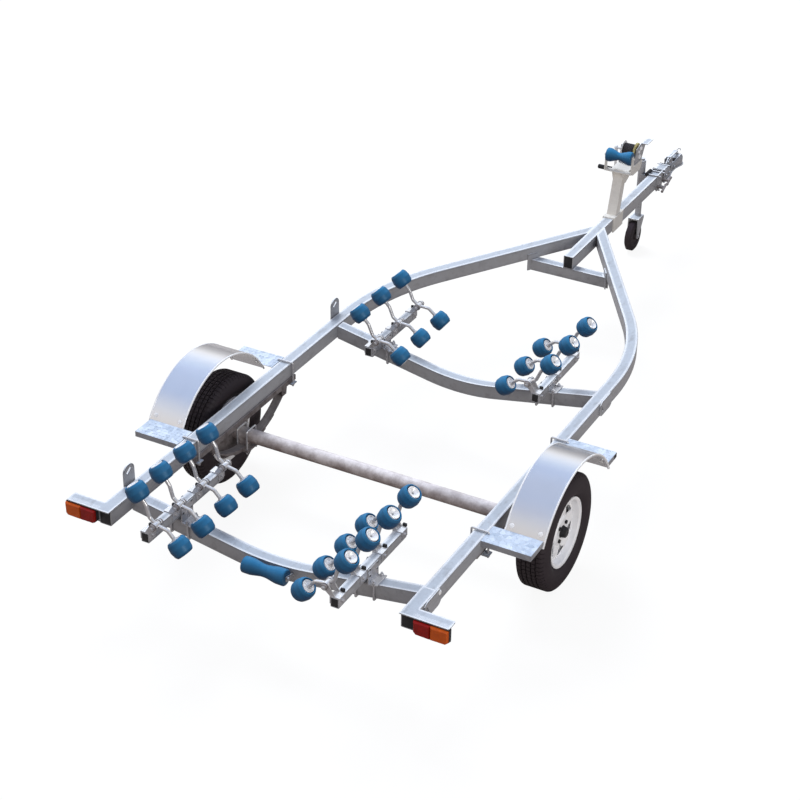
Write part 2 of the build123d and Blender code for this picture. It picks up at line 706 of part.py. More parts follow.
def leaf_springs():
    pack = None
    for level, reach in enumerate(LEAF_REACH):
        leaf = spring_arc(level * LEAF_THICKNESS, reach)
        pack = leaf if pack is None else pack + leaf
    for way in (-1, 1):
        eye = rod_x(EYE_RADIUS, (-SPRING_WIDTH / 2, SPRING_WIDTH / 2), way * SPRING_HALF_SPAN, SPRING_EYE_Z)
        pack += eye
    bottom = spring_seat_z() - LEAF_THICKNESS * len(LEAF_REACH)
    half_x = SPRING_WIDTH / 2 + 2 * U_ROD_RADIUS + 8
    half_y = u_leg(2 * AXLE_RADIUS) + U_ROD_RADIUS + 8
    plate = span((-half_x, half_x), (-half_y, half_y), (bottom - SPRING_PLATE, bottom + 1))
    for x in spring_bolt_x():
        for way in (-1, 1):
            leg_y = way * u_leg(2 * AXLE_RADIUS)
            plate -= rod_z(U_ROD_RADIUS + HOLE_CLEARANCE, x - RAIL_X, leg_y, (0, AXLE_Z))
    pack += plate
    for way in (-1, 1):
        reach = SPRING_WIDTH / 2 + SIDE_CLEARANCE + HANGER_THICKNESS + U_NUT_HEIGHT
        pack += rod_x(EYE_PIN_RADIUS, (-reach, reach), way * SPRING_HALF_SPAN, SPRING_EYE_Z)
    return both_sides(Pos(RAIL_X, 0, 0) * pack)


def spring_hangers():
    """A channel under each rail with a pair of ears at each spring eye."""
    x0 = RAIL_INNER_X - CARRIER_INSET
    low = RAIL_BOTTOM_Z - CARRIER_HEIGHT
    wall = HANGER_THICKNESS
    carrier = span((x0, x0 + CARRIER_WIDTH), (CARRIER_REAR_Y, CARRIER_FRONT_Y), (low, RAIL_BOTTOM_Z))
    inside_y = (CARRIER_REAR_Y - 1, CARRIER_FRONT_Y + 1)
    carrier -= span((x0 + wall, x0 + CARRIER_WIDTH - wall), inside_y, (low - 1, RAIL_BOTTOM_Z - wall))
    gap = SPRING_WIDTH / 2 + SIDE_CLEARANCE
    for way in (-1, 1):
        mid_y = way * SPRING_HALF_SPAN
        for side in (-1, 1):
            inner = RAIL_X + side * gap
            ear_x = (inner, inner + side * HANGER_THICKNESS)
            half = HANGER_LENGTH / 2
            top = RAIL_BOTTOM_Z - HANGER_THICKNESS / 2
            tip = SPRING_EYE_Z - HANGER_DROP
            rear_side = [(mid_y - half, top), (mid_y - HANGER_DROP, tip)]
            front_side = [(mid_y + HANGER_DROP, tip), (mid_y + half, top)]
            ear = plate_x(rear_side + front_side, (min(ear_x), max(ear_x)))
            ear -= rod_x(EYE_PIN_RADIUS + HOLE_CLEARANCE, (ear_x[0], ear_x[1]), mid_y, SPRING_EYE_Z)
            carrier += ear
    return both_sides(carrier)


def wheel(side):
    """Tyre, and rim with disc, hub, cap and bolt heads, of the wheel on one side."""
    half = TYRE_WIDTH / 2
    tread = TREAD_WIDTH / 2
    bead = BEAD_WIDTH / 2
    tyre = turned_x([
        (-bead, BEAD_RADIUS),
        (-bead, RIM_FLANGE_RADIUS + 2),
        (-half + 4, BEAD_RADIUS + 38),
        (-half, SIDEWALL_RADIUS),
        (-half + 6, TYRE_RADIUS - SHOULDER_DROP - 14),
        (-tread, TYRE_RADIUS - 4),
        (6 - tread, TYRE_RADIUS),
        (tread - 6, TYRE_RADIUS),
        (tread, TYRE_RADIUS - 4),
        (half - 6, TYRE_RADIUS - SHOULDER_DROP - 14),
        (half, SIDEWALL_RADIUS),
        (half - 4, BEAD_RADIUS + 38),
        (bead, RIM_FLANGE_RADIUS + 2),
        (bead, BEAD_RADIUS),
    ], 0, AXLE_Z)
    barrel = BEAD_RADIUS - SEAT_GAP
    edge = bead + SEAT_GAP
    rim = turned_x([
        (-edge - RIM_FLANGE, barrel - RIM_WALL),
        (-edge - RIM_FLANGE, RIM_FLANGE_RADIUS),
        (-edge, RIM_FLANGE_RADIUS),
        (-edge, barrel),
        (edge, barrel),
        (edge, RIM_FLANGE_RADIUS),
        (edge + RIM_FLANGE, RIM_FLANGE_RADIUS),
        (edge + RIM_FLANGE, barrel - RIM_WALL),
    ], 0, AXLE_Z)
    face = DISC_OFFSET + DISC_THICKNESS
    disc = rod_x(barrel - RIM_WALL / 2, (DISC_OFFSET, face), 0, AXLE_Z)
    for step in range(WINDOW_COUNT):
        angle = radians(90 + 360 * step / WINDOW_COUNT)
        y = WINDOW_CIRCLE * cos(angle)
        z = AXLE_Z + WINDOW_CIRCLE * sin(angle)
        disc -= rod_x(WINDOW_RADIUS, (DISC_OFFSET - 1, face + 1), y, z)
    rim += disc
    hub_inner = DISC_OFFSET - HUB_LENGTH
    rim += rod_x(HUB_RADIUS, (hub_inner, DISC_OFFSET), 0, AXLE_Z)
    rim += rod_x(HUB_CAP_RADIUS, (DISC_OFFSET, face + HUB_CAP_LENGTH), 0, AXLE_Z)
    for step in range(WHEEL_BOLT_COUNT):
        angle = radians(45 + 360 * step / WHEEL_BOLT_COUNT)
        y = WHEEL_BOLT_CIRCLE * cos(angle)
        z = AXLE_Z + WHEEL_BOLT_CIRCLE * sin(angle)
        rim += rod_x(WHEEL_BOLT_RADIUS, (face - 1, face + WHEEL_BOLT_HEAD), y, z)
    bore_end = hub_inner + SPINDLE_SEAT + 2 * SIDE_CLEARANCE
    rim -= rod_x(SPINDLE_RADIUS + PIN_CLEARANCE, (hub_inner - 1, bore_end), 0, AXLE_Z)
    tyre = Pos(WHEEL_X, 0, 0) * tyre
    rim = Pos(WHEEL_X, 0, 0) * rim
    if side < 0:
        return mirror(tyre, about=Plane.YZ), mirror(rim, about=Plane.YZ)
    return tyre, rim


def lamp_brackets():
    z = (RAIL_TOP_Z, RAIL_TOP_Z + LAMP_PLATE)
    length = LAMP_ARM_OUTER_X - RAIL_INNER_X
    arm = extrude(RectangleRounded(length, LAMP_ARM_DEPTH, LAMP_ARM_CORNER), LAMP_PLATE)
    arm = Pos(RAIL_INNER_X + length / 2, LAMP_ARM_REAR_Y + LAMP_ARM_DEPTH / 2, RAIL_TOP_Z) * arm
    arm += span((RAIL_INNER_X, RAIL_OUTER_X), (LAMP_ARM_REAR_Y, LAMP_TAIL_FRONT_Y), z)
    back_y = RAIL_REAR_Y + LAMP_PLATE
    hanger_x = (RAIL_OUTER_X + 1, LAMP_ARM_OUTER_X)
    hanger = span(hanger_x, (RAIL_REAR_Y, back_y), (RAIL_TOP_Z - LAMP_HEIGHT, RAIL_TOP_Z))
    return both_sides(arm + hanger)


def lamp_top_z():
    return RAIL_TOP_Z - LAMP_DROP


def lamp_outline(inset):
    low = lamp_top_z() - LAMP_HEIGHT + inset
    top = lamp_top_z() - inset
    left = RAIL_OUTER_X + LAMP_SIDE_GAP + inset
    right = LAMP_OUTER_X - inset
    return left, right, low, top


def lamp_housing():
    left, right, low, top = lamp_outline(0)
    cut = LAMP_CHAMFER
    lower_edge = [(right - cut, low), (left + cut, low)]
    outline = [(left, top), (right, top), (right, low + cut), *lower_edge, (left, low + cut)]
    rear = RAIL_REAR_Y
    return plate_y(outline, (rear - LAMP_BACK, rear))


def lamp_lens(red):
    left, right, low, top = lamp_outline(LAMP_RIM)
    cut = LAMP_CHAMFER
    split = left + LAMP_RED_SHARE
    rear = RAIL_REAR_Y - LAMP_BACK
    y = (rear - LAMP_LENS, rear)
    if red:
        outline = [(left, top), (split, top), (split, low), (left + cut, low), (left, low + cut)]
    else:
        near = split + SEAT_GAP
        outline = [(near, top), (right, top), (right, low + cut), (right - cut, low), (near, low)]
    return plate_y(outline, y)


def rocker_place(rollers, y):
    """Moves a rocker from its own frame, pivot at the origin, to its station on the right beam."""
    return Pos(BEAM_X - PIVOT_INWARD, y, beam_z(rollers) + PIVOT_ABOVE) * Rot(0, -rollers["lean"], 0)


def rocker_axis(knee, roller):
    """Unit direction of a roller's axle, from its knee outwards."""
    dx = roller[0] - knee[0]
    dz = roller[1] - knee[1]
    size = sqrt(dx * dx + dz * dz)
    return dx / size, dz / size


def rocker_arm():
    """The bent rod that carries a roller at each end, with the sleeve that turns on the pivot pin."""
    ends = []
    for knee, roller in ((OUTER_BEND, OUTER_ROLLER), (INNER_KNEE, INNER_ROLLER)):
        ax, az = rocker_axis(knee, roller)
        reach = ROLLER_WIDTH / 2 + ROD_END
        ends.append((roller[0] + ax * reach, 0, roller[1] + az * reach))
    knees = [(knee[0], 0, knee[1]) for knee in (OUTER_BEND, OUTER_KNEE, INNER_KNEE)]
    points = [ends[0], knees[0], knees[1], (0, 0, 0), knees[2], ends[1]]
    path = FilletPolyline(*points, radius=KNEE_RADIUS)
    arm = sweep(Plane(origin=path @ 0, z_dir=path % 0) * Circle(ROD_RADIUS), path=path)
    for knee, roller in ((OUTER_BEND, OUTER_ROLLER), (INNER_KNEE, INNER_ROLLER)):
        ax, az = rocker_axis(knee, roller)
        for way in (-1, 1):
            along = way * (ROLLER_WIDTH / 2 + ROLLER_BORE_CLEARANCE + COLLAR_LENGTH / 2)
            spot = Plane(origin=(roller[0] + ax * along, 0, roller[1] + az * along), z_dir=(ax, 0, az))
            arm += spot * Cylinder(COLLAR_RADIUS, COLLAR_LENGTH)
    half = SLEEVE_LENGTH / 2
    arm += rod_y(SLEEVE_RADIUS, 0, (-half, half), 0)
    return arm - rod_y(PIVOT_PIN_RADIUS + PIN_CLEARANCE, 0, (-half, half), 0)


def rocker_rollers():
    """The two rollers of one rocker."""
    half = ROLLER_WIDTH / 2
    bore = ROD_RADIUS + ROLLER_BORE_CLEARANCE
    outline = [
        (bore, -half),
        (ROLLER_RADIUS - ROLLER_EDGE, -half),
        (ROLLER_RADIUS - 3, ROLLER_EDGE - half),
        (ROLLER_RADIUS, 0),
        (ROLLER_RADIUS - 3, half - ROLLER_EDGE),
        (ROLLER_RADIUS - ROLLER_EDGE, half),
        (bore, half),
    ]
    roller = revolve(make_face(Plane.XZ * Polyline(*outline, close=True)), Axis.Z)
    pair = []
    for knee, place in ((OUTER_BEND, OUTER_ROLLER), (INNER_KNEE, INNER_ROLLER)):
        ax, az = rocker_axis(knee, place)
        pair.append(Plane(origin=(place[0], 0, place[1]), z_dir=(ax, 0, az)) * roller)
    return pair


def pivot_clamps():
    """A saddle over the beam at each station, with two cheeks and the pin that a rocker turns on."""
    half_x = BEAM_WIDTH / 2 + SADDLE_THICKNESS
    beam_top = BEAM_HEIGHT / 2
    top = beam_top + SADDLE_THICKNESS
    leg_low = beam_top - SADDLE_LEG
    saddle_y = (-SADDLE_LENGTH / 2, SADDLE_LENGTH / 2)
    saddle = span((-half_x, half_x), saddle_y, (leg_low, top))
    over_beam = (-BEAM_WIDTH / 2, BEAM_WIDTH / 2)
    saddle -= span(over_beam, (-SADDLE_LENGTH, SADDLE_LENGTH), (leg_low - SADDLE_THICKNESS, beam_top))
    nut_z = beam_top - SADDLE_LEG / 2
    for way in (-1, 1):
        nut_x = sorted((way * half_x, way * (half_x + U_NUT_HEIGHT)))
        saddle += rod_x(SADDLE_NUT_RADIUS, nut_x, 0, nut_z)
    pivot = (-PIVOT_INWARD, PIVOT_ABOVE)
    outline = [
        (CHEEK_FOOT - half_x, top - SADDLE_THICKNESS / 2),
        (pivot[0] + LUG_RADIUS * cos(radians(30)), pivot[1] + LUG_RADIUS * sin(radians(30))),
        (pivot[0] - LUG_RADIUS * cos(radians(20)), pivot[1] - LUG_RADIUS * sin(radians(20))),
        (-half_x, top - SADDLE_THICKNESS / 2),
    ]
    inner = SLEEVE_LENGTH / 2 + SIDE_CLEARANCE
    for way in (-1, 1):
        y = sorted((way * inner, way * (inner + CHEEK_THICKNESS)))
        cheek = plate_y(outline, y) + rod_y(LUG_RADIUS, pivot[0], y, pivot[1])
        saddle += cheek
    reach = inner + CHEEK_THICKNESS + U_NUT_HEIGHT
    saddle += rod_y(PIVOT_PIN_RADIUS, pivot[0], (-reach, reach), pivot[1])
    pieces = []
    for rollers in ROCKER_SETS.values():
        for y in rollers["stations"]:
            pieces += both_sides(Pos(BEAM_X, y, beam_z(rollers)) * saddle)
    return pieces


def winch_post():
    """Leaning post on a clamped foot, with the head that carries the bow roller and the winch."""
    half = POST_SIZE / 2
    tilt = Pos(0, POST_Y, RAIL_TOP_Z + POST_PLATE) * Rot(-POST_LEAN, 0, 0)
    sink = half * tan(radians(POST_LEAN))
    tube = tilt * span((-half, half), (-half, half), (-sink, POST_LENGTH))
    inner = half - POST_WALL
    tube -= tilt * span((-inner, inner), (-inner, inner), (-sink - 1, POST_LENGTH + 1))
    tube -= span((-POST_SIZE, POST_SIZE), (POST_Y - POST_SIZE, POST_Y + POST_SIZE), (0, RAIL_TOP_Z))
    foot_y = (POST_Y - POST_PLATE_LENGTH / 2, POST_Y + POST_PLATE_LENGTH / 2)
    wide = DRAWBAR_WIDTH / 2 + POST_PLATE
    foot = span((-wide, wide), foot_y, (RAIL_BOTTOM_Z - POST_PLATE, RAIL_TOP_Z + POST_PLATE))
    inside_y = (foot_y[0] - 1, foot_y[1] + 1)
    inside_z = (RAIL_BOTTOM_Z - POST_PLATE - 1, RAIL_TOP_Z)
    foot -= span((-DRAWBAR_WIDTH / 2, DRAWBAR_WIDTH / 2), inside_y, inside_z)
    post = tube + foot
    top_z = RAIL_TOP_Z + POST_PLATE + POST_LENGTH * cos(radians(POST_LEAN))
    top_y = POST_Y + POST_LENGTH * sin(radians(POST_LEAN))
    table_z = winch_base_z()
    table_x = WINCH_HALF_WIDTH + WINCH_PLATE
    table_y = (BOW_Y - BOW_CHEEK_FOOT, WINCH_Y + WINCH_DEPTH / 2)
    post += span((-table_x, table_x), table_y, (table_z - HEAD_PLATE, table_z))
    side = [
        (table_y[0], table_z - HEAD_PLATE / 2),
        (top_y - half, top_z - HEAD_SIDE),
        (top_y + HEAD_PLATE, top_z - HEAD_LOW),
        (top_y + 2 * half, top_z - HEAD_SIDE),
        (table_y[1] - HEAD_PLATE, table_z - HEAD_PLATE / 2),
    ]
    for way in (-1, 1):
        x = sorted((way * half, way * (half + HEAD_PLATE)))
        post += plate_x(side, x)
    reach = BOW_LENGTH / 2 + SIDE_CLEARANCE
    low = table_z - HEAD_PLATE
    bar_y = (BOW_Y - BOW_CHEEK_FOOT, BOW_Y + BOW_CHEEK_FOOT)
    post += span((-reach - BOW_CHEEK, reach + BOW_CHEEK), bar_y, (low, low + HEAD_PLATE))
    cheek = [
        (BOW_Y - BOW_CHEEK_FOOT, low),
        (BOW_Y - BOW_CHEEK_TOP, BOW_Z + BOW_CHEEK_TOP),
        (BOW_Y + BOW_CHEEK_TOP, BOW_Z + BOW_CHEEK_TOP),
        (BOW_Y + BOW_CHEEK_FOOT, low),
    ]
    for way in (-1, 1):
        x = sorted((way * reach, way * (reach + BOW_CHEEK)))
        post += plate_x(cheek, x)
    end = reach + BOW_CHEEK + U_NUT_HEIGHT
    post += rod_x(BOW_PIN_RADIUS, (-end, end), BOW_Y, BOW_Z)
    return post


def winch_base_z():
    return WINCH_Z - WINCH_DROP


def bow_roller():
    profile = roller_profile(BOW_LENGTH, BOW_RADIUS, BOW_WAIST, BOW_PIN_RADIUS + PIN_CLEARANCE)
    return turned_x(profile, BOW_Y, BOW_Z)


def winch_frame():
    base = winch_base_z() + SEAT_GAP
    x = WINCH_HALF_WIDTH
    y = (WINCH_Y - WINCH_DEPTH / 2, WINCH_Y + WINCH_DEPTH / 2)
    frame = span((-x, x), y, (base, base + WINCH_PLATE))
    for way in (-1, 1):
        side_x = sorted((way * x, way * (x - WINCH_PLATE)))
        top = base + WINCH_HEIGHT
        outline = [(y[0], base), (y[1], base), (y[1] - WINCH_TAPER, top), (y[0] + WINCH_TAPER, top)]
        if way > 0:
            fold_y = (y[1] + FOLD_LEAD - FOLD_LENGTH, y[1] + FOLD_LEAD)
            rear = (y[0] + WINCH_TAPER, base + WINCH_REAR_TOP)
            outline = [(y[0], base), (y[1], base), (fold_y[1], top), (fold_y[0], top), rear]
        wall = plate_x(outline, side_x)
        wall -= rod_x(WINCH_SHAFT_RADIUS + PIN_CLEARANCE, side_x, WINCH_Y, WINCH_Z)
        frame += wall
    return frame + span((x - WINCH_PLATE, x + FOLD_WIDTH), fold_y, (top - WINCH_PLATE, top))


def winch_spool():
    """Drum with its strap, ratchet disc, shaft and crank arm."""
    inside = WINCH_HALF_WIDTH - WINCH_PLATE - SIDE_CLEARANCE
    spool = rod_x(STRAP_RADIUS, (-inside + DRUM_FLANGE, inside - DRUM_FLANGE - 12), WINCH_Y, WINCH_Z)
    spool += rod_x(FLANGE_RADIUS, (-inside, -inside + DRUM_FLANGE), WINCH_Y, WINCH_Z)
    spool += rod_x(FLANGE_RADIUS, (inside - DRUM_FLANGE - 12, inside - 12), WINCH_Y, WINCH_Z)
    spool += rod_x(WINCH_SHAFT_RADIUS, (-CRANK_X - CRANK_THICKNESS, WINCH_HALF_WIDTH + 8), WINCH_Y, WINCH_Z)
    half = CRANK_WIDTH / 2
    x = (-CRANK_X - CRANK_THICKNESS, -CRANK_X)
    spool += span(x, (WINCH_Y - half, WINCH_Y + half), (WINCH_Z - CRANK_LENGTH, WINCH_Z))
    spool += rod_x(half, x, WINCH_Y, WINCH_Z)
    spool += rod_x(half, x, WINCH_Y, WINCH_Z - CRANK_LENGTH)
    stud = (-CRANK_X - CRANK_THICKNESS - GRIP_LENGTH, -CRANK_X - 1)
    spool += rod_x(WINCH_SHAFT_RADIUS / 2, stud, WINCH_Y, WINCH_Z - CRANK_LENGTH)
    return spool


def winch_grip():
    end = -CRANK_X - CRANK_THICKNESS - SEAT_GAP
    x = (end - GRIP_LENGTH, end)
    grip = rod_x(GRIP_RADIUS, x, WINCH_Y, WINCH_Z - CRANK_LENGTH)
    return grip - rod_x(WINCH_SHAFT_RADIUS / 2 + SEAT_GAP, x, WINCH_Y, WINCH_Z - CRANK_LENGTH)


def jack_outer():
    """The jockey wheel's outer tube with its clamp on the drawbar's left side and its winding handle."""
    tube = rod_z(JACK_TUBE_RADIUS, JACK_X, JACK_Y, (JACK_TUBE_BOTTOM_Z, JACK_TOP_Z))
    bore = JACK_TUBE_RADIUS - JACK_TUBE_WALL
    tube -= rod_z(bore, JACK_X, JACK_Y, (JACK_TUBE_BOTTOM_Z - 1, JACK_TOP_Z - JACK_TUBE_WALL))
    left = -DRAWBAR_WIDTH / 2
    mid_z = (RAIL_TOP_Z + RAIL_BOTTOM_Z) / 2
    z = (mid_z - JACK_CLAMP_HEIGHT / 2, mid_z + JACK_CLAMP_HEIGHT / 2)
    y = (JACK_Y - JACK_CLAMP_LENGTH / 2, JACK_Y + JACK_CLAMP_LENGTH / 2)
    block_y = (JACK_Y - JACK_TUBE_RADIUS, JACK_Y + JACK_TUBE_RADIUS)
    block = span((JACK_X, left), block_y, (mid_z - 30, mid_z + 30))
    block -= rod_z(JACK_TUBE_RADIUS - 1, JACK_X, JACK_Y, (0, JACK_TOP_Z))
    plate = span((left - JACK_CLAMP_PLATE, left), y, z)
    back = span((-left, -left + JACK_CLAMP_PLATE), y, z)
    for up in (-1, 1):
        bolt_z = mid_z + up * (RAIL_HEIGHT / 2 + 2 * SIDE_CLEARANCE + U_ROD_RADIUS)
        for way in (-1, 1):
            reach = JACK_CLAMP_PLATE + U_NUT_HEIGHT + U_TAIL
            bolt_y = JACK_Y + way * (JACK_CLAMP_LENGTH / 2 - 2 * U_ROD_RADIUS)
            block += rod_x(U_ROD_RADIUS, (left - reach, -left + reach), bolt_y, bolt_z)
    handle_z = JACK_TOP_Z + 14
    crown = rod_z(JACK_TUBE_RADIUS * 0.6, JACK_X, JACK_Y, (JACK_TOP_Z - 1, handle_z))
    arm_half = JACK_HANDLE_WIDTH / 2
    arm_x = (JACK_X - JACK_HANDLE_RADIUS, JACK_X + JACK_HANDLE_WIDTH)
    crown += span(arm_x, (JACK_Y - arm_half, JACK_Y + arm_half), (handle_z - arm_half, handle_z))
    return tube + block + plate + back + crown


def jack_inner():
    inner = JACK_INNER_RADIUS - JACK_INNER_WALL
    low = FORK_TOP_Z + SEAT_GAP
    top = JACK_TUBE_BOTTOM_Z + JACK_OVERLAP
    tube = rod_z(JACK_INNER_RADIUS, JACK_X, JACK_Y, (low, top))
    tube -= rod_z(inner, JACK_X, JACK_Y, (low + 2 * JACK_INNER_WALL, top + 1))
    pin_z = (FORK_TOP_Z - FORK_THICKNESS - SIDE_CLEARANCE, low + 1)
    return tube + rod_z(KINGPIN_RADIUS, JACK_X, JACK_Y, pin_z)


def jack_fork():
    """Swivelling fork that trails the wheel behind the leg."""
    gap = JACK_WHEEL_WIDTH / 2 + FORK_GAP
    wheel_y = JACK_Y - JACK_TRAIL
    outer = gap + FORK_THICKNESS
    bridge_y = (wheel_y - FORK_WIDTH / 2, JACK_Y + JACK_INNER_RADIUS)
    fork = span((-outer, outer), bridge_y, (FORK_TOP_Z - FORK_THICKNESS, FORK_TOP_Z))
    half = FORK_WIDTH / 2
    side = [
        (bridge_y[0], FORK_TOP_Z),
        (wheel_y - half, JACK_WHEEL_RADIUS),
        (wheel_y + half, JACK_WHEEL_RADIUS),
        (bridge_y[1], FORK_TOP_Z - 22),
        (bridge_y[1], FORK_TOP_Z),
    ]
    for way in (-1, 1):
        x = sorted((way * gap, way * outer))
        fork += plate_x(side, x) + rod_x(half, x, wheel_y, JACK_WHEEL_RADIUS)
    reach = outer + U_NUT_HEIGHT
    fork += rod_x(JACK_PIN_RADIUS, (-reach, reach), wheel_y, JACK_WHEEL_RADIUS)
    fork -= rod_z(KINGPIN_RADIUS + PIN_CLEARANCE, 0, JACK_Y, (FORK_TOP_Z - FORK_THICKNESS, FORK_TOP_Z))
    return Pos(JACK_X, 0, 0) * fork


def jack_wheel():
    half = JACK_WHEEL_WIDTH / 2
    hub = half + FORK_GAP - SIDE_CLEARANCE
    bore = JACK_PIN_RADIUS + PIN_CLEARANCE
    radius = JACK_WHEEL_RADIUS
    dish = half - JACK_DISH_DEPTH
    one_side = [
        (hub, bore),
        (hub, 20),
        (dish, 24),
        (dish, JACK_DISH - 6),
        (half, JACK_DISH),
        (half, radius - 12),
        (dish, radius),
    ]
    profile = [(-x, r) for x, r in one_side] + one_side[::-1]
    return Pos(JACK_X, 0, 0) * turned_x(profile, JACK_Y - JACK_TRAIL, radius)


def coupling():
    """Pressed coupling head over the drawbar's front end, with the ball socket and the hand lever."""
    half = COUPLING_WIDTH / 2
    top = RAIL_TOP_Z + COUPLING_WALL
    rear_y = DRAWBAR_FRONT_Y - COUPLING_OVERLAP
    body = span((-half, half), (rear_y, BALL_Y - NOSE_RADIUS), (top - COUPLING_HEIGHT, top))
    inner = DRAWBAR_WIDTH / 2
    body -= span((-inner, inner), (rear_y - 1, DRAWBAR_FRONT_Y), (top - COUPLING_HEIGHT - 1, RAIL_TOP_Z))
    hollow_x = (-inner + COUPLING_WALL, inner - COUPLING_WALL)
    hollow_y = (DRAWBAR_FRONT_Y - 1, BALL_Y - NOSE_RADIUS - COUPLING_WALL)
    body -= span(hollow_x, hollow_y, (top - COUPLING_HEIGHT - 1, RAIL_TOP_Z))
    nose_y = COUPLING_NOSE_Y - NOSE_RADIUS
    body += rod_z(NOSE_RADIUS, 0, nose_y, (top - COUPLING_HEIGHT, top))
    body += span((-half, half), (BALL_Y - NOSE_RADIUS - 1, nose_y), (top - COUPLING_HEIGHT, top))
    ball_z = top - COUPLING_HEIGHT + BALL_RADIUS * 0.6
    socket = BALL_RADIUS + BALL_CLEARANCE
    body -= Pos(0, BALL_Y, ball_z) * Sphere(socket)
    body -= rod_z(socket, 0, BALL_Y, (top - COUPLING_HEIGHT - 1, ball_z))
    lever_y = (BALL_Y - LEVER_LENGTH, BALL_Y - 10)
    lever = span((-LEVER_WIDTH / 2, LEVER_WIDTH / 2), lever_y, (top + 22, top + 22 + LEVER_THICKNESS))
    lever += span((-LEVER_WIDTH / 2, LEVER_WIDTH / 2), (lever_y[1] - 30, lever_y[1]), (top - 1, top + 23))
    return body + lever


nodes["side_rail_left"] = rail_with_tabs(-1)
nodes["side_rail_right"] = rail_with_tabs(1)
nodes["drawbar"] = drawbar()
nodes["middle_crossmember"] = bowed_crossmember(CROSSMEMBERS["middle"])
nodes["rear_crossmember"] = bowed_crossmember(CROSSMEMBERS["rear"]) + keel_cheeks()
nodes["end_plugs"] = end_plugs()
nodes["axle"] = axle()
nodes["leaf_springs"] = leaf_springs() + spring_hangers()
nodes["fenders"] = fenders()
nodes["steps"] = steps()
nodes["u_bolts"] = u_bolts()
nodes["lamp_brackets"] = lamp_brackets()
nodes["lamp_housings"] = both_sides(lamp_housing())
nodes["red_lenses"] = both_sides(lamp_lens(red=True))
nodes["amber_lenses"] = both_sides(lamp_lens(red=False))
nodes["roller_beams"] = roller_beams()
nodes["beam_fittings"] = beam_brackets() + pivot_clamps()
nodes["keel_roller"] = keel_roller()
nodes["winch_post"] = winch_post()
nodes["bow_roller"] = bow_roller()
nodes["winch_frame"] = winch_frame()
nodes["winch_spool"] = winch_spool()
nodes["winch_grip"] = winch_grip()
nodes["jack_outer"] = jack_outer()
nodes["jack_inner"] = jack_inner()
nodes["jack_fork"] = jack_fork()
nodes["jack_wheel"] = jack_wheel()
nodes["coupling"] = coupling()
for name, side in (("left", -1), ("right", 1)):
    tyre, rim = wheel(side)
    nodes["tyre_" + name] = tyre
    nodes["rim_" + name] = rim

arm = rocker_arm()
rollers_pair = rocker_rollers()
for set_name, rollers in ROCKER_SETS.items():
    for number, station in enumerate(rollers["stations"], 1):
        place = rocker_place(rollers, station)
        right_arm = place * arm
        right_pair = [place * roller for roller in rollers_pair]
        label = f"{set_name}_right_{number}"
        nodes["arm_" + label] = right_arm
        nodes["rollers_" + label] = right_pair
        label = f"{set_name}_left_{number}"
        nodes["arm_" + label] = mirror(right_arm, about=Plane.YZ)
        nodes["rollers_" + label] = [mirror(roller, about=Plane.YZ) for roller in right_pair]

os.makedirs("parts", exist_ok=True)
for name, shape in nodes.items():
    pieces = shape if isinstance(shape, list) else [shape]
    solids = [solid for piece in pieces for solid in piece.solids()]
    moved = [Pos(0, -CENTRE_Y, 0) * solid for solid in solids]
    export_step(Compound(children=moved) if len(moved) > 1 else moved[0], f"parts/{name}.step")
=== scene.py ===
import bmesh
import bpy
import json
from bmesh.types import BMEdge, BMFace, BMVert
from itertools import product
from math import atan2, cos, hypot, pi, radians, sin, tan
from mathutils import Matrix, Vector


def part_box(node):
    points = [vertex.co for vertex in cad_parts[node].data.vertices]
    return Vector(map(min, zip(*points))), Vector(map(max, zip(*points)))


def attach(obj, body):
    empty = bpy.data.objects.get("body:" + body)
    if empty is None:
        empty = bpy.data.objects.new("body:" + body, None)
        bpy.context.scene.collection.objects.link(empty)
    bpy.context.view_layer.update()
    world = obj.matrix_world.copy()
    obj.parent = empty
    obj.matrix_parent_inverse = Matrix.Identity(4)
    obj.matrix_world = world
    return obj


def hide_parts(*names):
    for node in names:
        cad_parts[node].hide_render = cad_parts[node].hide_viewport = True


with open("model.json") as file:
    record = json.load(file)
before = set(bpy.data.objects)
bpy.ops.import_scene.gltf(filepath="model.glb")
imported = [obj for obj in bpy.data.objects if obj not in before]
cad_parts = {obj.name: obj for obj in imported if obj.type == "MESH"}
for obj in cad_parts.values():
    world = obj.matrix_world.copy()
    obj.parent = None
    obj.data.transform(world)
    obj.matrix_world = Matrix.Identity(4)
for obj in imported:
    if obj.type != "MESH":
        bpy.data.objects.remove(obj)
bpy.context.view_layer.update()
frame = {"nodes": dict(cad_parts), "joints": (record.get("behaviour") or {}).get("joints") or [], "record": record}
nodes = frame["nodes"]
joints = {joint["name"]: joint for joint in frame["joints"]}
pivots = {name.removeprefix("rocker_"): Vector(joint["pos_m"])
          for name, joint in joints.items() if name.startswith("rocker_")}
scene = bpy.context.scene
print("frame loaded:", len(nodes), "nodes")


# shader building

class Wire:
    def __init__(self, recipe, socket):
        self.recipe = recipe
        self.socket = socket

    def maths(self, operation, first, second):
        return self.recipe.add("Math", {0: first, 1: second}, operation=operation)

    def __add__(self, other):
        return self.maths("ADD", self, other)

    def __mul__(self, other):
        return self.maths("MULTIPLY", self, other)

    def __rsub__(self, other):
        return self.maths("SUBTRACT", other, self)

    def __gt__(self, other):
        return self.maths("GREATER_THAN", self, other)

    __radd__ = __add__
    __rmul__ = __mul__


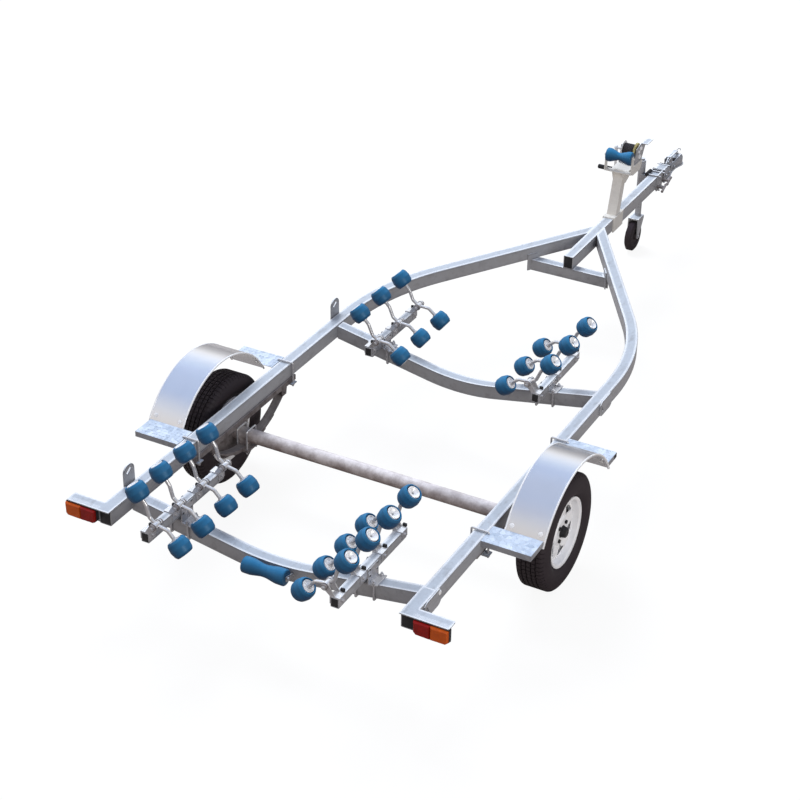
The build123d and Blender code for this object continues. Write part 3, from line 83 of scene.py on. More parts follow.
class Recipe:
    def __init__(self, tree):
        self.tree = tree
        self.tree.nodes.clear()

    def add(self, kind, inputs, output=0, **settings):
        node = self.tree.nodes.new("ShaderNode" + kind)
        for name, value in settings.items():
            if name == "stops":
                self.setStops(node.color_ramp, value)
            else:
                setattr(node, name, value)
        for name, value in inputs.items():
            if isinstance(value, Wire):
                self.tree.links.new(value.socket, node.inputs[name])
            else:
                node.inputs[name].default_value = value
        return Wire(self, node.outputs[output]) if node.outputs else node

    def setStops(self, ramp, stops):
        while len(ramp.elements) > 1:
            ramp.elements.remove(ramp.elements[0])
        for index, (place, colour) in enumerate(stops):
            element = ramp.elements[0] if index == 0 else ramp.elements.new(place)
            element.position = place
            element.color = (*colour, 1)

    def cloud(self, where, scale, detail, roughness=0.55):
        inputs = {"Vector": where, "Scale": scale, "Detail": detail, "Roughness": roughness}
        return self.add("TexNoise", inputs)

    def streaks(self, where, stretch, *noise):
        return self.cloud(self.add("Mapping", {"Vector": where, "Scale": stretch}), *noise)

    def patches(self, where, start, end, *noise):
        return self.ramp(self.cloud(where, *noise), start, end)

    def spangle(self, where, scale):
        cells = self.add("TexVoronoi", {"Vector": where, "Scale": scale}, "Color")
        return self.add("SeparateColor", {0: cells})

    def ribs(self, where, scale, distortion):
        inputs = {"Vector": where, "Scale": scale, "Distortion": distortion}
        return self.add("TexWave", inputs, bands_direction="X")

    def between(self, share, first, second):
        ports = {"Factor": share, 6: opaque(first), 7: opaque(second)}  # 6 and 7 are a Mix node's colours
        return self.add("Mix", ports, 2, data_type="RGBA")

    def ramp(self, value, start, end):
        return self.add("MapRange", {"Value": value, "From Min": start, "From Max": end})

    def dot(self, first, second):
        return self.add("VectorMath", {0: first, 1: second}, "Value", operation="DOT_PRODUCT")

    def upness(self, direction):
        return self.add("SeparateXYZ", {0: direction}, "Z")

    def flatNormal(self):
        return self.add("NewGeometry", {}, "Normal")

    # the next two give how far a face looks up, and a mask of faces that stand upright or look down; the finishes
    # use them to paint light on tops and shade on sides and undersides
    def lean(self, where=None):
        return self.upness(self.flatNormal())

    def paintedSideShade(self, start=0.75, end=0.2):
        return self.ramp(self.lean(), start, end)

    # masks for painted edge light: the first picks the edges of top faces for a painted highlight, the second the
    # upper edges of the other faces for a painted shade line
    def edges(self, look):
        rounded = self.add("Bevel", {"Radius": look["edgeWidth"]}, samples=look["edgeSamples"])
        flat = self.flatNormal()
        near = self.ramp(self.dot(rounded, flat), *look["edgeTurn"])
        top = self.upness(flat) > look["topFace"]
        return near * top, near * (1 - top) * (self.upness(rounded) > look["underTop"])

    def bump(self, height, strength, distance):
        return self.add("Bump", {"Height": height, "Strength": strength, "Distance": distance})


def opaque(colour):
    return colour if isinstance(colour, Wire) else (*colour, 1)


def graded(noise, pair):  # pair is (least, added by the noise)
    return noise * pair[1] + pair[0]


materials = {}


def emptyMaterial(name):
    material = bpy.data.materials.new(name)
    material.use_nodes = True
    return material, Recipe(material.node_tree)


def surface(name, build, look):
    material, recipe = emptyMaterial(name)
    where = recipe.add("TexCoord", {}, "Object")
    shader = recipe.add("BsdfPrincipled", {**look["fixed"], **build(recipe, where, look)})
    recipe.add("OutputMaterial", {"Surface": shader})
    materials[name] = material


# finishes

# galvanised zinc: its side colour is painted shade on upright faces, its edge colour a painted highlight along the
# edges of top faces, and its line colour a painted shade line along the upper edges of side faces
zinc = {
    "light": (0.51, 0.565, 0.64), "middle": (0.37, 0.40, 0.45), "dark": (0.20, 0.20, 0.21),
    "side": (0.30, 0.280, 0.275), "edge": (0.92, 0.94, 0.97), "line": (0.09, 0.09, 0.10),
    "spangle": 85, "fine": 221, "cloud": (7, 5, 0.65), "runs": ((1, 0.35, 1), 26, 4, 0.7),
    "spangleShare": 0.25, "fineShare": 0.15, "cloudShare": (-0.18, 0.5), "runShare": 0.45,
    "patch": (0.52, 0.68), "patchShare": 0.45, "sideShare": (0.35, 0.5),
    "edgeWidth": 0.018, "edgeSamples": 6, "edgeTurn": (0.997, 0.93), "topFace": 0.6, "underTop": 0.08,
    "edgeShare": (0.6, 0.5), "lineShare": (0.2, 0.7), "roughness": (0.24, 0.2), "spangleRoughness": 0.10,
    "pits": (190, 3), "spangleHeight": 0.3, "bump": (0.12, 0.0008), "fixed": {"Metallic": 0.16},
}


def galvanised(recipe, where, z):
    spangle, fine = recipe.spangle(where, z["spangle"]), recipe.spangle(where, z["fine"])
    cloud, runs = recipe.cloud(where, *z["cloud"]), recipe.streaks(where, *z["runs"])
    flecks = spangle * z["spangleShare"] + fine * z["fineShare"] + runs * z["runShare"]
    clean = recipe.between(flecks + graded(cloud, z["cloudShare"]), z["middle"], z["light"])
    # painted shade: faces that stand upright or look down take the side colour, by a share that the cloud noise
    # varies; the dark patches after it are wear
    sideShaded = recipe.between(recipe.paintedSideShade() * graded(cloud, z["sideShare"]), clean, z["side"])
    wornAndSideShaded = recipe.between(recipe.ramp(runs, *z["patch"]) * z["patchShare"], sideShaded, z["dark"])
    # painted edge light: a white highlight on the edges of top faces and a dark shade line on the upper edges of
    # side faces
    white, dark = recipe.edges(z)
    shadedAndWorn = recipe.between(dark * graded(cloud, z["lineShare"]), wornAndSideShaded, z["line"])
    height = spangle * z["spangleHeight"] + recipe.cloud(where, *z["pits"])
    return {
        "Base Color": recipe.between(white * graded(cloud, z["edgeShare"]), shadedAndWorn, z["edge"]),
        "Roughness": graded(cloud, z["roughness"]) + spangle * z["spangleRoughness"],
        "Normal": recipe.bump(height, *z["bump"]),
    }


surface("galvanised", galvanised, zinc)

# the other finishes mix a dark and a light colour by marks: a kind, its share and its settings, such as a
# noise's scale, detail and roughness. The first mark changes the roughness too, (least, added). A bump,
# (strength, depth), follows the last mark; grain is a fine noise, (scale, detail, strength, depth). A lean
# mark is painted light, lighter where a face looks up and darker where it looks down, and a side colour is
# painted shade on faces that stand upright or look down
# the steels' lean mark paints light and shade: lighter where a face looks up, darker where it looks down
steelMarks = (
    ("cloud", 0, 13, 5, 0.7), ("patches", 0.4, 0.38, 0.62, 13, 5, 0.7), ("lean", 0.45),
    ("streaks", 0.3, (8, 30, 30), 1.2, 5),
)
steelLook = {
    "start": -0.08, "marks": steelMarks, "roughness": (0.5, 0.2), "bump": (0.12, 0.001),
    "fixed": {"Metallic": 0.15},
}
lensLook = {
    "marks": (("cloud", 0.6, 40, 2), ("ribs", 0.25, 60, 0)), "roughness": (0.25, 0.1), "bump": (0.3, 0.0008),
    "fixed": {"Specular IOR Level": 0.25},
}
rubberLook = {
    "colours": ((0.012, 0.007, 0.010), (0.048, 0.032, 0.042)), "marks": (("cloud", 0.4, 12, 5),),
    "roughness": (0.6, 0.25), "grain": (500, 2, 0.2, 0.0005), "fixed": {},
}
mottled = {
    "bright_zinc": {
        "colours": ((0.84, 0.85, 0.87), (0.98, 0.98, 0.99)), "marks": (("cloud", 1, 11, 2),),
        "roughness": (0.2, 0.15), "fixed": {"Metallic": 0.2},
    },
    # the arms' lean mark paints light and shade: white on the rods' upper faces, dark on their lower faces
    "arm_zinc": {
        "colours": ((0.42, 0.42, 0.45), (1, 1, 1)), "marks": (("cloud", 0.3, 11, 2), ("lean", 0.7)),
        "roughness": (0.2, 0.15), "fixed": {"Metallic": 0.6},
    },
    "yellow_zinc": {
        "colours": ((0.55, 0.45, 0.16), (0.75, 0.68, 0.34)), "marks": (("cloud", 1, 30, 3),),
        "roughness": (0.25, 0.15), "grain": (300, 2, 0.05, 0.0004), "fixed": {"Metallic": 0.7},
    },
    "pipe_steel": {"colours": ((0.24, 0.19, 0.18), (0.88, 0.83, 0.83)), **steelLook},
    "spring_steel": {"colours": ((0.075, 0.060, 0.060), (0.36, 0.33, 0.33)), **steelLook},
    "post_steel": {
        "colours": ((0.58, 0.56, 0.53), (0.80, 0.78, 0.74)),
        "marks": (("cloud", 0.8, 11, 4), ("spangle", 0.2, 120)), "roughness": (0.5, 0.15),
        "grain": (220, 2, 0.08, 0.0006), "fixed": {"Metallic": 0.15},
    },
    "webbing": {
        "colours": ((0.010, 0.010, 0.012), (0.055, 0.050, 0.055)),
        "marks": (("cloud", 0.4, 40, 3), ("ribs", 0.4, 130, 1.5)), "roughness": (0.75, 0.1),
        "bump": (0.4, 0.0006), "fixed": {},
    },
    "fender_sheet": {
        "colours": ((0.70, 0.71, 0.74), (0.86, 0.88, 0.92)), "start": 0.05,
        "marks": (("cloud", 0.5, 5, 3), ("streaks", 0.15, (4, 60, 60), 1.5, 4),
                  ("streaks", 0.2, (1, 3, 3), 18, 5, 0.7)),
        "roughness": (0.18, 0.08), "grain": (2.5, 1, 0.05, 0.002), "fixed": {"Metallic": 0.85},
    },
    # the steps' side colour is painted shade on their upright faces
    "chequer_plate": {
        "colours": ((0.30, 0.38, 0.50), (0.78, 0.86, 0.97)), "side": (0.20, 0.18, 0.175), "sideShare": 0.75,
        "start": -0.05, "marks": (("spangle", 0.5, 45), ("cloud", 0.7, 14, 4)),
        "roughness": (0.34, 0.14), "grain": (300, 2, 0.08, 0.0005), "fixed": {"Metallic": 0.3},
    },
    # the rollers' lean mark paints light and shade: lighter on top, darker below
    "blue_roller": {
        "colours": ((0.004, 0.034, 0.095), (0.026, 0.180, 0.370)), "start": 0.1,
        "marks": (("cloud", 0.2, 30, 3), ("cloud", 0.2, 6, 4), ("lean", 0.6)),
        "roughness": (0.36, 0.15), "grain": (420, 2, 0.08, 0.0004),
        "fixed": {"Specular IOR Level": 0.5, "Specular Tint": (0.55, 0.80, 1.0, 1)},
    },
    "tyre_rubber": rubberLook,
    "black_rubber": rubberLook,
    "rim_paint": {
        "colours": ((0.92, 0.93, 0.96), (0.98, 0.98, 1.0)), "marks": (("cloud", 1, 18, 4),),
        "roughness": (0.28, 0.12), "grain": (260, 2, 0.05, 0.0004), "fixed": {"Metallic": 0.1},
    },
    "black_plastic": {
        "colours": ((0.010, 0.010, 0.012), (0.035, 0.035, 0.038)), "marks": (("cloud", 1, 25, 3),),
        "roughness": (0.35, 0.2), "grain": (600, 2, 0.15, 0.0003), "fixed": {"Specular IOR Level": 0.25},
    },
    "red_lens": {"colours": ((0.10, 0.002, 0.001), (0.42, 0.008, 0.004)), **lensLook},
    "amber_lens": {"colours": ((0.30, 0.04, 0.002), (0.72, 0.125, 0.008)), **lensLook},
}


def mottledFinish(recipe, where, look):
    marks = [getattr(recipe, kind)(where, *settings) for kind, share, *settings in look["marks"]]
    share = sum((mark * row[1] for mark, row in zip(marks, look["marks"])), look.get("start", 0))
    colour = recipe.between(share, *look["colours"])
    # painted shade: faces that stand upright or look down take the side colour
    if "side" in look:
        colour = recipe.between(recipe.paintedSideShade() * look["sideShare"], colour, look["side"])
    inputs = {"Base Color": colour, "Roughness": graded(marks[0], look["roughness"])}
    if "bump" in look:
        inputs["Normal"] = recipe.bump(marks[-1], *look["bump"])
    if "grain" in look:
        scale, detail, *bump = look["grain"]
        inputs["Normal"] = recipe.bump(recipe.cloud(where, scale, detail), *bump)
    return inputs


for name, look in mottled.items():
    surface(name, mottledFinish, look)

slotOf = {part["node"]: part["material_slot"] for part in frame["record"]["subparts"]}
ownFinish = {
    "u_bolts": "arm_zinc", "beam_fittings": "arm_zinc", "axle": "pipe_steel", "leaf_springs": "spring_steel",
    "winch_post": "post_steel",
}
for name, node in nodes.items():
    node.data.materials.clear()
    node.data.materials.append(materials[ownFinish.get(name, slotOf[name])])
print("finishes:", len(materials))


# mesh helpers

shift = Matrix.Translation
alongX = Matrix.Rotation(pi / 2, 4, "Y")
alongY = Matrix.Rotation(pi / 2, 4, "X")
mirrored = Matrix.Scale(-1, 4, (1, 0, 0))
axleY, wheelZ = joints["wheel_right_spin"]["pos_m"][1:]


def at(x, y, z):  # pieces on the frame are placed from the axle line
    return Vector((x, y + axleY, z))


def across(x, y=0, z=0):  # a drum's axis along x
    return shift((x, y, z)) @ alongX


def aimed(spot, way):
    return shift(spot) @ Vector((0, 0, 1)).rotation_difference(Vector(way)).to_matrix().to_4x4()


def only(kind, items):
    return [item for item in items if isinstance(item, kind)]


def outwards(shape):
    bmesh.ops.recalc_face_normals(shape, faces=shape.faces)


def bevelEdges(shape, edges, offset, segments=2):
    return bmesh.ops.bevel(shape, geom=list(edges), offset=offset, segments=segments, profile=0.5,
                           affect="EDGES", material=-1)["verts"]


def outline(points, closed=True):  # points are (along the x axis, radius)
    shape = bmesh.new()
    made = [shape.verts.new((x, 0, radius)) for x, radius in points]
    for pair in zip(made, made[1:] + made[:1] if closed else made[1:]):
        shape.edges.new(pair)
    return shape


def roundCorners(shape, radius, wanted):
    corners = [corner for corner in shape.verts if wanted(corner.co)]
    bmesh.ops.bevel(shape, geom=corners, offset=radius, segments=4, profile=0.5,
                    affect="VERTICES", material=-1, clamp_overlap=True)


def turn(shape, steps):
    bmesh.ops.spin(shape, geom=shape.verts[:] + shape.edges[:], axis=(1, 0, 0), cent=(0, 0, 0),
                   angle=2 * pi, steps=steps, use_merge=True)
    bmesh.ops.remove_doubles(shape, verts=shape.verts, dist=1e-6)
    outwards(shape)


def turned(points, steps, closed=True):
    shape = outline(points, closed)
    turn(shape, steps)
    return shape


def place(shape, matrix):
    bmesh.ops.transform(shape, matrix=matrix, verts=shape.verts)


def copyInto(target, shape, matrix=Matrix()):
    mesh = bpy.data.meshes.new("part")
    shape.to_mesh(mesh)
    mesh.transform(matrix)
    if matrix.determinant() < 0:
        mesh.flip_normals()
    target.from_mesh(mesh)
    bpy.data.meshes.remove(mesh)


def moveInto(target, shape, matrix=Matrix()):
    copyInto(target, shape, matrix)
    shape.free()


def bothSides(shape):
    copyInto(shape, shape, mirrored)


def soften(shape, sharpAngle=32):
    for face in shape.faces:
        face.smooth = True
    for edge in shape.edges:
        edge.smooth = len(edge.link_faces) == 2 and edge.calc_face_angle(0) < radians(sharpAngle)


def shown(name, data):
    thing = bpy.data.objects.new(name, data)
    scene.collection.objects.link(thing)
    return thing


def solid(name, shape, material):
    mesh = bpy.data.meshes.new(name)
    shape.to_mesh(mesh)
    shape.free()
    mesh.materials.append(material)
    return shown(name, mesh)


def finish(name, shape, slot, body="frame", replaced=()):
    soften(shape)
    piece = solid(name, shape, materials[slot])
    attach(piece, body)
    if replaced:
        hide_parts(*replaced)


def box(shape, low, high, bevel=0.0):
    made = bmesh.ops.create_cube(shape, size=1)["verts"]
    bmesh.ops.scale(shape, vec=Vector(high) - Vector(low), verts=made)
    bmesh.ops.translate(shape, vec=(Vector(high) + Vector(low)) / 2, verts=made)
    if bevel:
        bevelEdges(shape, {edge for corner in made for edge in corner.link_edges}, bevel)


def boxPair(shape, low, high, bevel):  # one on each side of the frame's middle
    (inner, rear, foot), (outer, front, top) = low, high
    for left, right in ((-outer, -inner), (inner, outer)):
        box(shape, at(left, rear, foot), at(right, front, top), bevel)


def drum(shape, radius, depth, matrix, segments=32, bevel=0.0):
    made = bmesh.ops.create_cone(shape, cap_ends=True, segments=segments, radius1=radius, radius2=radius,
                                 depth=depth)["verts"]
    if bevel:
        rims = {edge for corner in made for edge in corner.link_edges
                if abs(edge.verts[0].co.z - edge.verts[1].co.z) < depth / 2}
        made = bevelEdges(shape, rims, bevel) + [corner for corner in made if corner.is_valid]
    bmesh.ops.transform(shape, matrix=matrix, verts=list(set(made)))


def tube(target, points, radius, segments=10):
    path = [Vector(point) for point in points]
    shape = bmesh.new()
    ring = bmesh.ops.create_circle(shape, cap_ends=True, segments=segments, radius=radius)["verts"]
    face = shape.faces[:][0]
    heading = Vector((0, 0, 1))
    for index, spot in enumerate(path):
        ahead = path[min(index + 1, len(path) - 1)] - path[max(index - 1, 0)]
        if index:
            moved = bmesh.ops.extrude_face_region(shape, geom=[face])["geom"]
            ring = only(BMVert, moved)
            face = only(BMFace, moved)[0]
        bend = heading.rotation_difference(ahead).to_matrix()
        middle = sum((corner.co for corner in ring), Vector()) / len(ring)
        for corner in ring:
            corner.co = spot + bend @ (corner.co - middle)
        heading = ahead
    bmesh.ops.remove_doubles(shape, verts=shape.verts, dist=1e-7)
    outwards(shape)
    moveInto(target, shape)


boltFit = {"washer": 0.0015, "wide": 1.35, "steps": 20, "sides": 6, "bevel": 0.0008, "nutBevel": 0.001}


def boltHead(target, spot, outward, radius, height):
    b, lie = boltFit, aimed(spot, outward)
    drum(target, radius * b["wide"], b["washer"], lie @ shift((0, 0, b["washer"] / 2)), b["steps"])
    drum(target, radius, height, lie @ shift((0, 0, b["washer"] + height / 2)), b["sides"], b["bevel"])


def nut(target, radius, height, lie):
    drum(target, radius, height, lie, boltFit["sides"], boltFit["nutBevel"])


def boltRow(spots, size):
    shape = bmesh.new()
    for spot in spots:
        boltHead(shape, at(*spot), (1, 0, 0), *size)
    return shape


# rollers on their rocking arms

rocker = {
    "outerKnee": (0.038, 0.024), "outerBend": (0.062, 0.082), "outerRoller": (0.113, 0.135),
    "innerKnee": (-0.061, -0.002), "innerRoller": (-0.133, -0.059), "bendRadius": 0.024,
    "rod": 0.0092, "sleeve": 0.016, "sleeveLong": 0.034, "collar": 0.0145, "collarLong": 0.006,
    "collarGap": 0.002, "bevel": 0.0015, "lean": {"front": 0, "rear": radians(8)},
}
roller = {
    "radius": 0.052, "half": 0.040, "edge": 0.012, "crown": 0.0045, "round": 0.0035, "steps": 40,
    "recess": 0.0345, "depth": 0.006, "lip": 0.001, "dish": 0.020, "dishTaper": 0.004, "bore": 0.0103,
    # outlines of the hub's two faces: out from the recess, radius
    "outerFace": (
        (-0.018, 0.0068), (-0.0055, 0.0070), (-0.0050, 0.0105), (0.0025, 0.0235), (0.0065, 0.0260),
        (0.0072, 0.0282), (0.0055, 0.0300), (-0.002, 0.0300), (-0.0075, 0.012), (-0.018, 0.0095),
    ),
    "innerFace": (
        (-0.002, 0.0103), (0.0055, 0.0103), (0.0055, 0.0165), (0.0015, 0.0175), (0.0015, 0.0260),
        (0.0055, 0.0270), (0.0055, 0.0300), (-0.002, 0.0300),
    ),
    "ribs": 6, "ribWide": 0.0045, "ribHigh": 0.0055, "ribRadius": (0.0155, 0.028),
}


def rollerBody():
    r = roller
    half, edge, floor, lip = r["half"], r["edge"], r["half"] - r["depth"], r["lip"]
    side = [(half, r["recess"] + lip), (half, r["radius"] - edge), (half - edge, r["radius"] - r["crown"])]
    inner = [(-floor, r["bore"]), (-floor, r["recess"] - lip)]
    outer = [(floor - r["dish"], r["recess"] - r["dishTaper"]), (floor - r["dish"], r["bore"])]
    shape = outline(inner + [(-x, radius) for x, radius in side] + [(0, r["radius"])] + side[::-1] + outer)
    roundCorners(shape, r["round"], lambda spot: spot.z > r["recess"] + lip / 2)
    turn(shape, r["steps"])
    return shape


def rollerHub():
    r = roller
    floor = r["half"] - r["depth"]
    shape = turned([(floor + x, radius) for x, radius in r["outerFace"]], r["steps"])
    spokes = turned([(-floor - x, radius) for x, radius in r["innerFace"]], r["steps"])
    foot, top = r["ribRadius"]
    for count in range(r["ribs"]):
        rib = bmesh.new()
        box(rib, (-floor - r["ribHigh"], -r["ribWide"] / 2, foot), (-floor, r["ribWide"] / 2, top))
        moveInto(spokes, rib, Matrix.Rotation(2 * pi * count / r["ribs"], 4, "X"))
    moveInto(shape, spokes)
    return shape


def bent(corners, radius, steps=6):  # the corners' path with each bend rounded
    path = [corners[0]]
    for before, corner, after in zip(corners, corners[1:], corners[2:]):
        back, ahead = (before - corner).normalized(), (after - corner).normalized()
        half = back.angle(ahead) / 2
        inward = (back + ahead).normalized() / sin(half)
        start, end = ((way / tan(half) - inward).normalized() for way in (back, ahead))
        path += [corner + radius * (inward + start.slerp(end, step / steps)) for step in range(steps + 1)]
    return path + [corners[-1]]


def rockerArm():
    r = rocker
    corners = [Vector((x, 0, z)) for x, z in
               (r["outerRoller"], r["outerBend"], r["outerKnee"], (0, 0), r["innerKnee"], r["innerRoller"])]
    shape = bmesh.new()
    tube(shape, bent(corners, r["bendRadius"]), r["rod"], 16)
    drum(shape, r["sleeve"], r["sleeveLong"], alongY, 28, r["bevel"])
    for knee, end in ((corners[1], corners[0]), (corners[4], corners[5])):
        way = (end - knee).normalized()
        spot = end - way * (roller["half"] + r["collarGap"])
        drum(shape, r["collar"], r["collarLong"], aimed(spot, way), 24, r["bevel"])
    return shape


body, hub, arm = rollerBody(), rollerHub(), rockerArm()
for label, pivot in pivots.items():
    setName, side = label.split("_")[:2]
    lean = Matrix.Rotation(-rocker["lean"][setName], 4, "Y")
    base = shift(pivot) @ (lean if side == "right" else mirrored @ lean)
    rollers, hubs = bmesh.new(), bmesh.new()
    for knee, end in (("outerBend", "outerRoller"), ("innerKnee", "innerRoller")):
        (kneeX, kneeZ), (endX, endZ) = rocker[knee], rocker[end]
        tilt = Matrix.Rotation(-atan2(endZ - kneeZ, endX - kneeX), 4, "Y")
        spot = base @ shift((endX, 0, endZ)) @ tilt
        copyInto(rollers, body, spot)
        copyInto(hubs, hub, spot)
    finish("roller_pair_" + label, rollers, "blue_roller", "rocker_body_" + label, ["rollers_" + label])
    finish("roller_hubs_" + label, hubs, "bright_zinc", "rocker_body_" + label)
    rod = bmesh.new()
    copyInto(rod, arm, base)
    finish("rocker_arm_" + label, rod, "arm_zinc", "rocker_body_" + label, ["arm_" + label])
print("rocker rollers made")

waisted = {
    "keel_roller": {"length": 0.226, "radius": 0.040, "waist": 0.030, "flat": 0.2},
    "bow_roller": {"length": 0.165, "radius": 0.042, "waist": 0.024, "flat": 0.16},
}
waistedFit = {"bore": 0.0085, "waistFlat": 0.3, "round": 0.008, "steps": 48}
for name, size in waisted.items():
    low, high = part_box(name)
    half, flat = size["length"] / 2, size["length"] * size["flat"]
    radius, waist, bore = size["radius"], size["waist"], waistedFit["bore"]
    waistHalf = flat * waistedFit["waistFlat"]
    shape = outline([
        (-half, bore), (-half, radius), (flat - half, radius), (-waistHalf, waist),
        (waistHalf, waist), (half - flat, radius), (half, radius), (half, bore),
    ])
    roundCorners(shape, waistedFit["round"], lambda spot: spot.z > 2 * bore)
    turn(shape, waistedFit["steps"])
    place(shape, shift((low + high) / 2))
    finish(name + "_moulded", shape, "blue_roller", name + "_body", [name])
print("keel and bow rollers made")


# wheels

tyre = {
    "radius": 0.298, "tread": 0.060, "treadEdge": 0.007, "steps": 360, "pitch": 5,
    # half of the outline from the bead up: out from the middle, radius
    "side": (
        (0.058, 0.168), (0.058, 0.182), (0.066, 0.190), (0.0765, 0.206), (0.081, 0.222), (0.0825, 0.238),
        (0.0808, 0.254), (0.077, 0.268), (0.072, 0.2795), (0.066, 0.2895), (0.060, 0.2955),
    ),
    "grooves": (-0.036, -0.0125, 0.0125, 0.036), "grooveWide": 0.007, "grooveDepth": 0.007,
    "grooveSlope": 0.001, "shoulder": 0.284, "lugDepth": 0.7, "topSkin": 0.001, "innerPhase": 2,
}


def stepIndex(spot, steps):
    return int(atan2(spot.y, spot.z) % (2 * pi) / (2 * pi / steps))


def tyreShape():
    t = tyre
    side = [*t["side"], (t["tread"] - t["treadEdge"], t["radius"])]
    points = [(-x, radius) for x, radius in side]
    half, slope, bottom = t["grooveWide"] / 2, t["grooveSlope"], t["radius"] - t["grooveDepth"]
    for x in t["grooves"]:
        points += [(x - half, t["radius"]), (x - half + slope, bottom), (x + half - slope, bottom),
                   (x + half, t["radius"])]
    shape = turned(points + side[::-1], t["steps"])
    cuts = []
    for face in shape.faces:
        spot = face.calc_center_median()
        radius = hypot(spot.y, spot.z)
        phase = stepIndex(spot, t["steps"]) % t["pitch"]
        shoulder = abs(spot.x) > max(t["grooves"]) and radius > t["shoulder"]
        inner = abs(spot.x) < max(t["grooves"]) and radius > t["radius"] - t["topSkin"]
        if (shoulder and phase == 0) or (inner and phase == t["innerPhase"]):
            cuts.append(face)
    moved = bmesh.ops.extrude_face_region(shape, geom=cuts)["geom"]
    share = 1 - t["grooveDepth"] * t["lugDepth"] / t["radius"]
    for corner in only(BMVert, moved):
        corner.co.yz *= share
    bmesh.ops.delete(shape, geom=[face for face in cuts if face.is_valid], context="FACES")
    return shape


rim = {
    "flange": 0.180, "edge": 0.0643, "seat": 0.1675, "seatStep": 0.002, "wall": 0.006, "lip": 0.006,
    "slope": 0.009, "segments": 60, "disc": 0.030, "discThick": 0.0045, "discSteps": 120,
    "well": ((-0.030, 0.004), (-0.020, 0.022), (0.012, 0.022), (0.024, 0.006)),  # x, depth under the seat
    "face": (  # outline of the disc: out from its plane, radius
        (-0.012, 0.141), (0.002, 0.132), (0.006, 0.124), (0.006, 0.116), (0.005, 0.108), (0.003, 0.100),
        (0.001, 0.092), (0, 0.084), (-0.003, 0.076), (0.006, 0.064), (0.006, 0.030),
    ),
    "windows": 5, "windowFoot": 0.076, "windowTop": 0.128, "windowWide": 0.72,
}
wheelMiddle = {
    "drum": 0.128, "drumLong": 0.018, "drumBack": 0.024, "drumBevel": 0.003,
    # outlines: out from the disc's plane, radius
    "cap": (
        (-0.012, 0), (-0.012, 0.033), (0.010, 0.033), (0.014, 0.029), (0.034, 0.026), (0.038, 0.020),
        (0.038, 0),
    ),
    "dome": (
        (-0.060, 0), (-0.060, 0.148), (-0.066, 0.154), (-0.090, 0.156), (-0.103, 0.146), (-0.114, 0.118),
        (-0.121, 0.080), (-0.124, 0.040), (-0.125, 0),
    ),
    "bolts": 4, "boltCircle": 0.050, "bolt": 0.0105, "boltLong": 0.014, "boltOut": 0.013,
}


def rimShape():
    r = rim
    edge, seat, wall, flange = r["edge"], r["seat"], r["wall"], r["flange"]
    lip, slope, step = edge - r["lip"], edge - r["slope"], seat + r["seatStep"]
    well = [(x, seat - deep) for x, deep in r["well"]]
    barrel = turned(
        [(-edge, step), (-edge, flange), (-lip, flange), (-slope, seat)] + well
        + [(slope, seat), (lip, flange), (edge, flange), (edge, step), (lip, seat - wall)]
        + [(x, radius - wall) for x, radius in well[::-1]] + [(-lip, seat - wall)], r["segments"])
    disc = turned([(r["disc"] + x, radius) for x, radius in r["face"]], r["discSteps"], closed=False)
    share = r["discSteps"] // r["windows"]
    windows = []
    for face in disc.faces:
        spot = face.calc_center_median()
        wide = (hypot(spot.y, spot.z) - r["windowFoot"]) / (r["windowTop"] - r["windowFoot"])
        fromMiddle = abs(stepIndex(spot, r["discSteps"]) % share - (share - 1) / 2)
        if 0 < wide < 1 and fromMiddle < share / 2 * r["windowWide"] * wide:
            windows.append(face)
    bmesh.ops.delete(disc, geom=windows, context="FACES")
    bmesh.ops.solidify(disc, geom=disc.faces, thickness=-r["discThick"])
    moveInto(barrel, disc)
    return barrel


def wheelHub():
    m, disc = wheelMiddle, rim["disc"]
    shape = bmesh.new()
    drum(shape, m["drum"], m["drumLong"], across(disc - m["drumBack"]), 48, m["drumBevel"])
    moveInto(shape, turned([(disc + x, radius) for x, radius in m["cap"]], 32, closed=False))
    for count in range(m["bolts"]):
        bolt = bmesh.new()
        nut(bolt, m["bolt"], m["boltLong"], across(disc + m["boltOut"], 0, m["boltCircle"]))
        moveInto(shape, bolt, Matrix.Rotation(2 * pi * (count + 0.5) / m["bolts"], 4, "X"))
    return shape


dome = turned([(rim["disc"] + x, radius) for x, radius in wheelMiddle["dome"]], 48, closed=False)
rubber, metal, middleHub = tyreShape(), rimShape(), wheelHub()
for side, way in (("left", mirrored), ("right", Matrix())):
    low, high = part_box("tyre_" + side)
    spot = shift((low + high) / 2) @ way
    for name, source, slot, replaced in (
        ("road_tyre_", rubber, "tyre_rubber", ["tyre_" + side]),
        ("wheel_rim_", metal, "rim_paint", ["rim_" + side]),
        ("wheel_hub_", middleHub, "black_plastic", []),
        ("wheel_dome_", dome, "spring_steel", []),
    ):
        shape = bmesh.new()
        copyInto(shape, source, spot)
        finish(name + side, shape, slot, "wheel_" + side, replaced)
print("wheels made")


# treads on the steps

treads = {
    "x": (0.842, 1.072), "ends": ((-0.558, -0.440), (0.322, 0.428)), "top": 0.534, "high": 0.0013,
    "pitch": 0.021, "long": 0.0095, "thin": 0.0034, "taper": 0.72,
}


